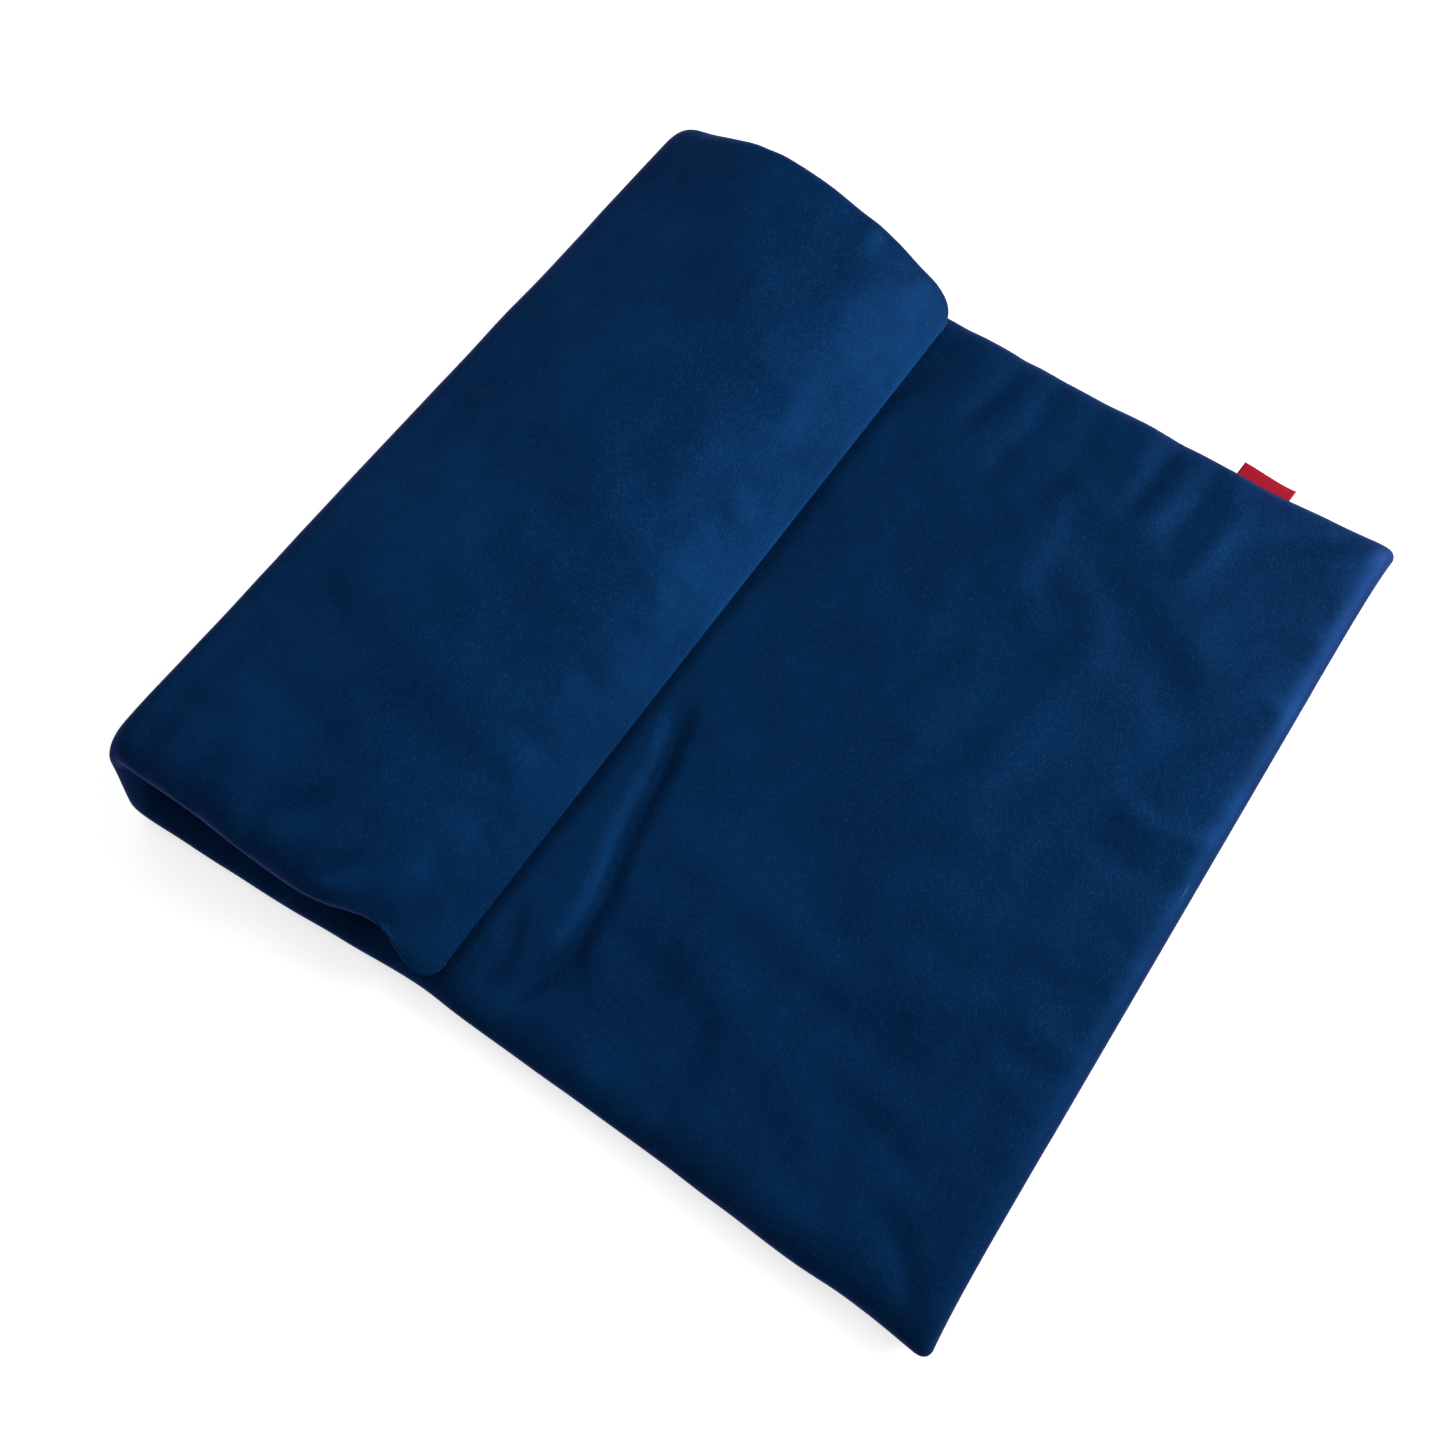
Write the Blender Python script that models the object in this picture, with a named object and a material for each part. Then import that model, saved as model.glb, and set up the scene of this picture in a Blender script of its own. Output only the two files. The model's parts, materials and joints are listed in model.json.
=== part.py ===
"""Floor mattress: a sewn cover over a cotton-filled casing, with one end folded over on itself.

Metres, +Z up. The mattress lies on Z = 0, its flat end towards +X, its fold towards -X and its
side label on the +Y edge; the origin is the middle of its footprint. It is a chain of four
lengths, lying_half, riser, flap_back and flap_front. They hinge on the outside of the folds, so
the flap opens out flat. Every piece is drawn in its own length's frame: x runs along the mat
from the end nearer to the flat end, z points out of the fold and the outer face is z = 0.
"""

from math import asin, atan2, cos, degrees, hypot, pi, radians, sin, tan

import bmesh
import bpy
from mathutils import Matrix, Vector

# The folded mat
MAT_WIDTH = 0.700
PAD_THICKNESS = 0.030
BARE_LENGTH = 0.3935        # of the lying part, from the flat end to the flap's end
COVERED_LENGTH = 0.2755     # of the lying part, from the flap's end to the fold
RISER_HEIGHT = 0.0875       # of the fold's upper edge
CREST_RUN = 0.100           # from the fold's outer face to the flap's highest line
CREST_HEIGHT = 0.100
NOSE_LENGTH = 0.062         # of the flap's rounded end
NOSE_LIFT = 0.004           # of the flap's end seam above the cloth that it lies on
NOSE_TOE = 0.005            # from the end seam back to where the flap touches that cloth
FOLD_SKEW = 0.025           # of the fold towards -Y, because the flap is turned over askew

# Cloth and filling
COVER_CLOTH = 0.0008
TICKING_CLOTH = 0.0005
BATTING_LAYER = 0.0090      # of the batting on each side of the firm core
LAYER_GAP = 0.0003
HINGE_GAP = 0.0003
PAD_SETBACK = 0.008         # of the casing from the flat end, which leaves room for the zip

# Side label, a folded woven ribbon
LABEL_WIDTH = 0.046
LABEL_OUT = 0.015           # from the side seam to its fold
LABEL_PLY = 0.0004
LABEL_LOOP = 0.0008         # between its two plies
LABEL_FROM_END = 0.110      # from the flat end to its middle

# Zip in the flat end's seam
ZIP_LENGTH = 0.360
ZIP_WINDOW = 0.010          # height of the slot in the cover
TAPE_THICKNESS = 0.0005
COIL_RADIUS = 0.0008
BRIDGE_THICKNESS = 0.0008   # of the slider's web between the two coils
BRIDGE_CLEARANCE = 0.0004
SLIDER_LENGTH = 0.009
SLIDER_HEIGHT = 0.008
SLIDER_PLATE = 0.0010
STOP_LENGTH = 0.003
PULL_LENGTH = 0.018
PULL_HEIGHT = 0.004
PULL_THICKNESS = 0.0010
PULL_DEPTH = 0.0004         # of the pull tab's outer face inside the end of the cover
ZIP_CLEARANCE = 0.0004      # between the slider and what it slides on

# Drawing
ARC_STEPS = 6               # in each quarter of a round edge
CUT_MARGIN = 0.005          # that a cutter stands past what it cuts
SMOOTH_ANGLE = radians(40)
WELD = 0.00001

# What follows from the sizes above
LYING_LENGTH = BARE_LENGTH + COVERED_LENGTH
FLAT_END_X = LYING_LENGTH / 2
FOLD_X = -LYING_LENGTH / 2
MID_Y = (FOLD_SKEW - LABEL_OUT) / 2
EDGE_RADIUS = PAD_THICKNESS / 2
SEAM_Z = -PAD_THICKNESS / 2
TICKING_INSET = COVER_CLOTH + LAYER_GAP
FILLING_INSET = TICKING_INSET + TICKING_CLOTH + LAYER_GAP

CREST_X = FOLD_X + CREST_RUN
BACK_LENGTH = hypot(CREST_RUN, CREST_HEIGHT - RISER_HEIGHT)
BACK_HEADING = atan2(CREST_HEIGHT - RISER_HEIGHT, CREST_RUN)
NOSE_X = FOLD_X + COVERED_LENGTH
LANDING_Z = PAD_THICKNESS + LAYER_GAP
NOSE_Z = LANDING_Z + NOSE_LIFT
NOSE_REACH = hypot(NOSE_X - CREST_X, CREST_HEIGHT - NOSE_Z)
FRONT_HEADING = asin(EDGE_RADIUS / NOSE_REACH) - atan2(CREST_HEIGHT - NOSE_Z, NOSE_X - CREST_X)
FRONT_LENGTH = (NOSE_REACH**2 - EDGE_RADIUS**2) ** 0.5
FLAP_LENGTH = BACK_LENGTH + FRONT_LENGTH

PULL_MID = PULL_DEPTH + PULL_THICKNESS / 2
SLIDER_FRONT = PULL_DEPTH + PULL_THICKNESS + LAYER_GAP
COIL_MID = SLIDER_FRONT + SLIDER_PLATE + ZIP_CLEARANCE + COIL_RADIUS
SLIDER_BACK = COIL_MID + COIL_RADIUS + ZIP_CLEARANCE + SLIDER_PLATE
COIL_OFFSET = BRIDGE_THICKNESS / 2 + BRIDGE_CLEARANCE + COIL_RADIUS
SLIDER_Y = ZIP_LENGTH / 2 - STOP_LENGTH - SLIDER_LENGTH / 2 - ZIP_CLEARANCE


class Length:
    """One rigid length of the mat: where it starts, which way it heads and how it ends."""

    def __init__(self, name, start, heading, length, lean_from, lean_to):
        self.name = name
        self.start = start          # x, z of the hinge, or of the flat end
        self.heading = heading      # angle of its run above +X
        self.length = length
        self.lean_from = lean_from  # shift along Y at its start
        self.lean_to = lean_to      # shift along Y at its end

    def local(self, x, z):
        """Return a point of the world's X-Z plane in this length's frame."""
        dx, dz = x - self.start[0], z - self.start[1]
        along, across = cos(self.heading), sin(self.heading)
        return dx * along + dz * across, dz * along - dx * across

    def lean(self, x):
        """Return how far the mat is shifted along Y at x."""
        if self.name == "lying_half":
            share = max(0.0, (x - BARE_LENGTH) / COVERED_LENGTH)
        else:
            share = x / self.length
        return self.lean_from + (self.lean_to - self.lean_from) * share


FLAP_LEAN = -FOLD_SKEW * FRONT_LENGTH / FLAP_LENGTH
LENGTHS = [
    Length("lying_half", (FLAT_END_X, 0.0), pi, LYING_LENGTH, 0.0, -FOLD_SKEW),
    Length("riser", (FOLD_X, 0.0), pi / 2, RISER_HEIGHT, -FOLD_SKEW, -FOLD_SKEW),
    Length("flap_back", (FOLD_X, RISER_HEIGHT), BACK_HEADING, BACK_LENGTH, -FOLD_SKEW, FLAP_LEAN),
    Length("flap_front", (CREST_X, CREST_HEIGHT), FRONT_HEADING, FRONT_LENGTH, FLAP_LEAN, 0.0),
]
TURNS = [a.heading - b.heading for a, b in zip(LENGTHS, LENGTHS[1:])]


def arc(centre, radius_x, radius_z, start, end):
    """Return the points of an elliptical arc between two angles."""
    angles = [start + (end - start) * i / ARC_STEPS for i in range(ARC_STEPS + 1)]
    return [(centre[0] + radius_x * cos(a), centre[1] + radius_z * sin(a)) for a in angles]


def section(index, setback=0.0):
    """Return a length's outline, anticlockwise, as points and whether a hinge cut starts there."""
    length = LENGTHS[index].length
    if index < len(TURNS):
        far = [(length - PAD_THICKNESS * tan(TURNS[index] / 2), -PAD_THICKNESS, True), (length, 0.0)]
    else:
        far = flap_nose(LENGTHS[index])
    if index > 0:
        near = [(0.0, 0.0, True), (PAD_THICKNESS * tan(TURNS[index - 1] / 2), -PAD_THICKNESS)]
    else:
        near = arc((setback + EDGE_RADIUS, SEAM_Z), EDGE_RADIUS, EDGE_RADIUS, pi / 2, pi)
        near += arc((setback + EDGE_RADIUS, SEAM_Z), EDGE_RADIUS, EDGE_RADIUS, pi, 3 * pi / 2)[1:]
    points = far + near
    return [point[:2] for point in points], [len(point) == 3 for point in points]


def flap_nose(front):
    """Return the outline of the flap's end, flat where it lies on the cloth below."""
    toe = front.local(NOSE_X - NOSE_TOE, LANDING_Z)
    slope = tan(front.heading)
    landing = toe[0] - (-PAD_THICKNESS - toe[1]) / slope
    nose = arc((front.length - NOSE_LENGTH, SEAM_Z), NOSE_LENGTH, EDGE_RADIUS, 0.0, pi / 2)
    return [(landing, -PAD_THICKNESS), toe] + nose


def inset(outline, cuts, skin, hinge):
    """Move an outline's edges inwards by skin, and its hinge cuts by hinge."""
    count = len(outline)
    lines = []
    for i in range(count):
        start, end = Vector(outline[i]), Vector(outline[(i + 1) % count])
        along = (end - start).normalized()
        inwards = Vector((-along.y, along.x))
        lines.append((start + inwards * (hinge if cuts[i] else skin), along))
    moved = []
    for i in range(count):
        (point, along), (other, direction) = lines[i - 1], lines[i]
        cross = along.x * direction.y - along.y * direction.x
        step = other - point
        moved.append(point + along * ((step.x * direction.y - step.y * direction.x) / cross))
    return moved


def prism(outline, width, lengthwise=False):
    """Return a closed mesh of an outline in x and z, or in y and z if lengthwise."""
    curve = bpy.data.curves.new("outline", "CURVE")
    curve.dimensions = "2D"
    curve.fill_mode = "BOTH"
    curve.extrude = width / 2
    spline = curve.splines.new("POLY")
    spline.points.add(len(outline) - 1)
    spline.use_cyclic_u = True
    for point, place in zip(spline.points, outline):
        point.co = (place[0], place[1], 0.0, 1.0)
    mesh = mesh_from_curve(curve)
    mesh.transform(Matrix.Rotation(pi / 2, 4, "X"))
    if lengthwise:
        mesh.transform(Matrix.Rotation(pi / 2, 4, "Z"))
    return mesh


def mesh_from_curve(curve):
    """Return a curve's surface as a closed mesh, and remove the curve."""
    drawn = bpy.data.objects.new("drawn", curve)
    bpy.context.scene.collection.objects.link(drawn)
    evaluated = drawn.evaluated_get(bpy.context.evaluated_depsgraph_get())
    mesh = bpy.data.meshes.new_from_object(evaluated)
    bpy.data.objects.remove(drawn)
    bpy.data.curves.remove(curve)
    solid = bmesh.new()
    solid.from_mesh(mesh)
    bmesh.ops.remove_doubles(solid, verts=solid.verts, dist=WELD)
    bmesh.ops.recalc_face_normals(solid, faces=solid.faces)
    solid.to_mesh(mesh)
    solid.free()
    return mesh


def trim(mesh, place, normal, keep_all=False):
    """Cut a closed mesh at a plane, and drop and close the side that the normal points to."""
    solid = bmesh.new()
    solid.from_mesh(mesh)
    geometry = solid.verts[:] + solid.edges[:] + solid.faces[:]
    made = bmesh.ops.bisect_plane(
        solid, geom=geometry, plane_co=place, plane_no=normal, clear_outer=not keep_all, dist=WELD
    )
    if not keep_all:
        rim = [item for item in made["geom_cut"] if isinstance(item, bmesh.types.BMEdge)]
        bmesh.ops.edgenet_fill(solid, edges=rim)
        bmesh.ops.recalc_face_normals(solid, faces=solid.faces)
    solid.to_mesh(mesh)
    solid.free()


def lean(mesh, length):
    """Shift a mesh along Y with the skew of the length that it belongs to."""
    if length.name == "lying_half":
        trim(mesh, (BARE_LENGTH, 0.0, 0.0), (1.0, 0.0, 0.0), keep_all=True)
    for vertex in mesh.vertices:
        vertex.co.y += length.lean(vertex.co.x)


def material(name, colour, roughness, metallic=0.0):
    """Return a Principled material."""
    made = bpy.data.materials.new(name)
    made.use_nodes = True
    shader = made.node_tree.nodes["Principled BSDF"]
    shader.inputs["Base Color"].default_value = (*colour, 1.0)
    shader.inputs["Roughness"].default_value = roughness
    shader.inputs["Metallic"].default_value = metallic
    return made


def add_part(name, mesh, finish, parent):
    """Add a mesh to the mattress as a named piece."""
    mesh.name = name
    mesh.materials.clear()
    mesh.materials.append(finish)
    mesh.shade_smooth()
    mesh.set_sharp_from_angle(angle=SMOOTH_ANGLE)
    part = bpy.data.objects.new(name, mesh)
    part.parent = parent
    parts.objects.link(part)
    return part


def cut(part, mesh):
    """Cut a mesh out of a piece that has the same parent."""
    cutter = bpy.data.objects.new(f"{part.name}_cutter", mesh)
    cutter.parent = part.parent
    cutter.hide_render = True
    cutter.display_type = "WIRE"
    cutters.objects.link(cutter)
    difference = part.modifiers.new("cut", "BOOLEAN")
    difference.operation = "DIFFERENCE"
    difference.solver = "EXACT"
    difference.object = cutter


def box(low, high):
    """Return a box mesh between two corners."""
    solid = bmesh.new()
    bmesh.ops.create_cube(solid, size=1.0)
    size = [b - a for a, b in zip(low, high)]
    middle = [(a + b) / 2 for a, b in zip(low, high)]
    bmesh.ops.scale(solid, vec=size, verts=solid.verts)
    bmesh.ops.translate(solid, vec=middle, verts=solid.verts)
    mesh = bpy.data.meshes.new("box")
    solid.to_mesh(mesh)
    solid.free()
    return mesh


def add_axis(name, place, turn, parent=None):
    """Add an empty that carries the pieces that move together."""
    empty = bpy.data.objects.new(name, None)
    empty.empty_display_size = 0.05
    empty.location = place
    empty.rotation_euler = (0.0, turn, 0.0)
    empty.parent = parent
    parts.objects.link(empty)
    return empty


def add_cover(index, length, axis, cloth):
    """Add a length's outer and inner cover panels, trays that meet at the side seam."""
    outline, cuts = section(index)
    for side, out in (("outer", 1.0), ("inner", -1.0)):
        shell = prism(inset(outline, cuts, 0.0, HINGE_GAP / 2), MAT_WIDTH)
        trim(shell, (0.0, 0.0, SEAM_Z + out * LAYER_GAP / 2), (0.0, 0.0, -out))
        lean(shell, length)
        panel = add_part(f"cover_{side}_{length.name}", shell, cloth, axis)
        hollow = prism(inset(outline, cuts, COVER_CLOTH, -CUT_MARGIN), MAT_WIDTH - 2 * COVER_CLOTH)
        lean(hollow, length)
        cut(panel, hollow)
        if length.name == "lying_half":
            cut(panel, zip_slot())


def zip_slot():
    """Return the slot that the zip needs in the flat end."""
    half = ZIP_LENGTH / 2 + LAYER_GAP
    top = SEAM_Z + ZIP_WINDOW / 2
    bottom = SEAM_Z - ZIP_WINDOW / 2
    return box((-CUT_MARGIN, -half, bottom), (COIL_MID, half + PULL_LENGTH, top))


def add_casing(index, length, axis, cloth):
    """Add a length of the inner casing, a sleeve round the filling."""
    outline, cuts = section(index, PAD_SETBACK)
    sleeve = prism(inset(outline, cuts, TICKING_INSET, HINGE_GAP / 2), MAT_WIDTH - 2 * TICKING_INSET)
    lean(sleeve, length)
    casing = add_part(f"ticking_{length.name}", sleeve, cloth, axis)
    wall = TICKING_INSET + TICKING_CLOTH
    hollow = prism(inset(outline, cuts, wall, -CUT_MARGIN), MAT_WIDTH - 2 * wall)
    lean(hollow, length)
    cut(casing, hollow)


def add_filling(index, length, axis, cotton, core):
    """Add the three layers that fill a length of the casing."""
    outline, cuts = section(index, PAD_SETBACK)
    outer_top = -FILLING_INSET
    outer_bottom = outer_top - BATTING_LAYER
    inner_bottom = FILLING_INSET - PAD_THICKNESS
    inner_top = inner_bottom + BATTING_LAYER
    layers = (
        ("batting_outer", outer_top, outer_bottom, cotton),
        ("core", outer_bottom - LAYER_GAP, inner_top + LAYER_GAP, core),
        ("batting_inner", inner_top, inner_bottom, cotton),
    )
    for name, top, bottom, finish in layers:
        layer = prism(inset(outline, cuts, FILLING_INSET, HINGE_GAP / 2), MAT_WIDTH - 2 * FILLING_INSET)
        trim(layer, (0.0, 0.0, top), (0.0, 0.0, 1.0))
        trim(layer, (0.0, 0.0, bottom), (0.0, 0.0, -1.0))
        lean(layer, length)
        add_part(f"{name}_{length.name}", layer, finish, axis)


def strip(path, thickness):
    """Return the outline of a ribbon of even thickness along a path."""
    points = [Vector(point) for point in path]
    left, right = [], []
    for i, point in enumerate(points):
        along = (points[min(i + 1, len(points) - 1)] - points[max(i - 1, 0)]).normalized()
        out = Vector((-along.y, along.x)) * thickness / 2
        left.append(point + out)
        right.append(point - out)
    return left + right[::-1]


def add_label(axis, woven):
    """Add the side label, a ribbon folded into a loop, its ends at the side seam."""
    seam_y = MAT_WIDTH / 2 + LAYER_GAP
    bend = (LABEL_LOOP + LABEL_PLY) / 2
    centre = (MAT_WIDTH / 2 + LABEL_OUT - bend - LABEL_PLY / 2, SEAM_Z)
    half_turn = arc(centre, bend, bend, -pi / 2, pi / 2)
    path = [(seam_y, SEAM_Z - bend)] + half_turn + [(seam_y, SEAM_Z + bend)]
    loop = prism(strip(path, LABEL_PLY), LABEL_WIDTH, lengthwise=True)
    loop.transform(Matrix.Translation((LABEL_FROM_END, 0.0, 0.0)))
    add_part("side_label", loop, woven, axis)


def rod(radius, length):
    """Return a round rod along y."""
    curve = bpy.data.curves.new("rod", "CURVE")
    curve.dimensions = "3D"
    curve.bevel_depth = radius
    curve.bevel_resolution = 2
    curve.use_fill_caps = True
    spline = curve.splines.new("POLY")
    spline.points.add(1)
    spline.points[0].co = (0.0, -length / 2, 0.0, 1.0)
    spline.points[1].co = (0.0, length / 2, 0.0, 1.0)
    return mesh_from_curve(curve)


def add_zip(axis, tape_cloth, nylon, metal):
    """Add the zip: two tapes, two coils, two stops, the slider and its pull tab."""
    tape_radius = EDGE_RADIUS - COVER_CLOTH - LAYER_GAP - TAPE_THICKNESS / 2
    window_angle = asin(ZIP_WINDOW / 2 / tape_radius)
    coil_edge = COIL_OFFSET + COIL_RADIUS + LAYER_GAP
    slider_edge = SLIDER_HEIGHT / 2 + LAYER_GAP
    for name, side in (("lower", 1.0), ("upper", -1.0)):
        behind_cover = arc((EDGE_RADIUS, 0.0), -tape_radius, tape_radius, window_angle, pi / 3)
        profile = [(COIL_MID, coil_edge), (COIL_MID, slider_edge)] + behind_cover
        path = [(x, SEAM_Z + side * z) for x, z in profile]
        tape = prism(strip(path, TAPE_THICKNESS), ZIP_LENGTH)
        add_part(f"zip_tape_{name}", tape, tape_cloth, axis)
        coil = rod(COIL_RADIUS, ZIP_LENGTH - 2 * (STOP_LENGTH + LAYER_GAP))
        coil.transform(Matrix.Translation((COIL_MID, 0.0, SEAM_Z + side * COIL_OFFSET)))
        add_part(f"zip_coil_{name}", coil, nylon, axis)
    stop_half = COIL_OFFSET + COIL_RADIUS
    for name, side in (("near", -1.0), ("far", 1.0)):
        middle = side * (ZIP_LENGTH - STOP_LENGTH) / 2
        low = (COIL_MID - COIL_RADIUS, middle - STOP_LENGTH / 2, SEAM_Z - stop_half)
        high = (COIL_MID + COIL_RADIUS, middle + STOP_LENGTH / 2, SEAM_Z + stop_half)
        add_part(f"zip_stop_{name}", box(low, high), metal, axis)
    add_slider(axis, metal)


def add_slider(axis, metal):
    """Add the zip's slider and pull tab, each on its own axis."""
    slide = add_axis("zip_slide", (0.0, SLIDER_Y, SEAM_Z), 0.0, axis)
    half_length, half_height = SLIDER_LENGTH / 2, SLIDER_HEIGHT / 2
    body = box((SLIDER_FRONT, -half_length, -half_height), (SLIDER_BACK, half_length, half_height))
    slider = add_part("zip_slider", body, metal, slide)
    front, back = SLIDER_FRONT + SLIDER_PLATE, SLIDER_BACK - SLIDER_PLATE
    for side in (-1.0, 1.0):
        edges = sorted((side * BRIDGE_THICKNESS / 2, side * (half_height + CUT_MARGIN)))
        reach = half_length + CUT_MARGIN
        cut(slider, box((front, -reach, edges[0]), (back, reach, edges[1])))
    hinge = add_axis("zip_pull_hinge", (PULL_MID, 0.0, 0.0), 0.0, slide)
    half_tab = PULL_THICKNESS / 2
    tab = box((-half_tab, 0.0, -PULL_HEIGHT / 2), (half_tab, PULL_LENGTH, PULL_HEIGHT / 2))
    add_part("zip_pull", tab, metal, hinge)


for leftover in list(bpy.data.objects):
    bpy.data.objects.remove(leftover)
parts = bpy.data.collections.new("floor_mattress")
cutters = bpy.data.collections.new("cutters")
bpy.context.scene.collection.children.link(parts)
bpy.context.scene.collection.children.link(cutters)

cover_cloth = material("cover_cloth", (0.0025, 0.020, 0.080), 0.75)
ticking_cloth = material("ticking_cloth", (0.62, 0.56, 0.44), 0.90)
cotton_batting = material("cotton_batting", (0.76, 0.72, 0.62), 0.95)
firm_core = material("firm_core", (0.70, 0.62, 0.40), 0.90)
label_ribbon = material("label_ribbon", (0.36, 0.008, 0.022), 0.60)
zip_cloth = material("zip_cloth", (0.004, 0.016, 0.055), 0.80)
zip_nylon = material("zip_nylon", (0.005, 0.018, 0.060), 0.35)
zip_metal = material("zip_metal", (0.42, 0.42, 0.43), 0.30, metallic=1.0)

for number, run in enumerate(LENGTHS):
    hinge_axis = add_axis(f"{run.name}_axis", (run.start[0], MID_Y, run.start[1]), -run.heading)
    add_cover(number, run, hinge_axis, cover_cloth)
    add_casing(number, run, hinge_axis, ticking_cloth)
    add_filling(number, run, hinge_axis, cotton_batting, firm_core)
    if run.name == "lying_half":
        add_label(hinge_axis, label_ribbon)
        add_zip(hinge_axis, zip_cloth, zip_nylon, zip_metal)

print("folds open by", ", ".join(f"{degrees(turn):.2f}" for turn in TURNS), "degrees")
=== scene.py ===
"""Floor mattress with one end folded over: its cloth, filling, label and zip around the frame.

The cover is one cloth form. Two sheets, outer and inner, follow the frame's fold from the flat
end to the flap's end and meet in a knife-edge seam. The form is wrinkled, settled as cloth, and
then parted at the fold lines into pieces. The lying piece rides with its body; the others stay put.
"""

import json
import logging
import math
from dataclasses import dataclass, field
from enum import Enum
from typing import Optional, Sequence

import bmesh
import bpy
import numpy as np
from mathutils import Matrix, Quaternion, Vector


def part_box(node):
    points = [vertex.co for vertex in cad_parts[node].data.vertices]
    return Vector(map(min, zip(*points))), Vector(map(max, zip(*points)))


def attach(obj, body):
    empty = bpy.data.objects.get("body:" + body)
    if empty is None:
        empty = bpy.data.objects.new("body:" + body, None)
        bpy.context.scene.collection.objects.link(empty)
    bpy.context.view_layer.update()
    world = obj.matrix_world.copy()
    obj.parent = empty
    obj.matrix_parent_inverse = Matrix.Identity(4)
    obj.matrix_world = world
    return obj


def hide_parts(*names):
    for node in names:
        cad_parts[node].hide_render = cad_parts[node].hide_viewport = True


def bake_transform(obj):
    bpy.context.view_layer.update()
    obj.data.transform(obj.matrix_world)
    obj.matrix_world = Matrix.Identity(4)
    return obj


logging.basicConfig(level=logging.INFO, format="%(message)s")
log = logging.getLogger("mattress")
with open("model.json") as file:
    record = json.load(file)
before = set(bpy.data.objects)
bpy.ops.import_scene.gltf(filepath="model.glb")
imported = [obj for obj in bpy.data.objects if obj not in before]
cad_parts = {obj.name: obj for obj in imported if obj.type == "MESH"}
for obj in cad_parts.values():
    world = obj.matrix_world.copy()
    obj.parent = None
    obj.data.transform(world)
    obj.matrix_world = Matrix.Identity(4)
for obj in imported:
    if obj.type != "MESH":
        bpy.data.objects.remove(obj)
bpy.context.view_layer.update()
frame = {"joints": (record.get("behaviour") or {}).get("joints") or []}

MM = 0.001
SEAM_SIDE_STEPS = (0.0, 0.8, 1.0, 1.7, 2.5, 3.0, 4.0, 5.0)   # mm, from the seam inwards
FOLD_STEPS = (0.0, 2.5, 2.5, 3.0, 4.0, 5.0)                   # mm, away from a fold line
CLOTH_STEP = 6.0 * MM


class Sheet(Enum):
    """One of the cover's two cloth sheets."""

    OUTER = 0
    INNER = 1


# ---------------------------------------------------------------------------------------------
# Shader tools and finishes
# ---------------------------------------------------------------------------------------------


class NodeTree:
    """A node tree that is wired up by name."""

    def __init__(self, tree: bpy.types.NodeTree) -> None:
        """Wrap a tree.

        Args:
            tree: the shader or geometry tree to build in.
        """
        self.tree = tree

    def add(self, kind: str, values: Optional[dict] = None, **settings: object) -> bpy.types.Node:
        """Add a node.

        Args:
            kind: the node's type name.
            values: what to set on its input sockets, by socket name or index.
            settings: the node's own properties.

        Returns:
            The new node.
        """
        node = self.tree.nodes.new(kind)
        for key, value in settings.items():
            setattr(node, key, value)
        for key, value in (values or {}).items():
            if isinstance(value, bpy.types.NodeSocket):
                self.tree.links.new(value, node.inputs[key])
            else:
                node.inputs[key].default_value = value
        return node

    def math(self, operation: str, first: object, second: object = 0.0) -> bpy.types.NodeSocket:
        """Return the result of a Math node on two values or sockets."""
        return self.add("ShaderNodeMath", {0: first, 1: second}, operation=operation).outputs[0]

    def remap(self, value: object, low: float, high: float,
              to_low: float, to_high: float) -> bpy.types.NodeSocket:
        """Return a value mapped from one range to another, held at its ends."""
        inputs = {"Value": value, "From Min": low, "From Max": high, "To Min": to_low, "To Max": to_high}
        return self.add("ShaderNodeMapRange", inputs).outputs["Result"]

    def mix(self, share: object, first: object, second: object) -> bpy.types.NodeSocket:
        """Return a colour between two colours."""
        node = self.add("ShaderNodeMix", {0: share, 6: first, 7: second}, data_type="RGBA")
        return node.outputs[2]

    def noise(self, place: object, scale: float, detail: float, rough: float = 0.5) -> bpy.types.NodeSocket:
        """Return a noise texture's value at a place."""
        values = {"Vector": place, "Scale": scale, "Detail": detail, "Roughness": rough}
        return self.add("ShaderNodeTexNoise", values).outputs["Fac"]

    def stretched(self, place: object, scale: Sequence[float], turn: float = 0.0) -> bpy.types.NodeSocket:
        """Return a place turned about Z by an angle and then scaled along each axis."""
        values = {"Vector": place, "Rotation": (0.0, 0.0, turn), "Scale": tuple(scale)}
        return self.add("ShaderNodeMapping", values).outputs["Vector"]


def shader_group(name: str, inputs: Sequence[tuple], outputs: Sequence[tuple]) -> bpy.types.NodeTree:
    """Make an empty shader group.

    Args:
        name: the group's name.
        inputs: for each input its name, socket type and default value.
        outputs: for each output its name and socket type.

    Returns:
        The group's tree.
    """
    tree = bpy.data.node_groups.new(name, "ShaderNodeTree")
    for label, kind, value in inputs:
        socket = tree.interface.new_socket(name=label, in_out="INPUT", socket_type=kind)
        if value is not None:
            socket.default_value = value
    for label, kind in outputs:
        tree.interface.new_socket(name=label, in_out="OUTPUT", socket_type=kind)
    return tree


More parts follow.
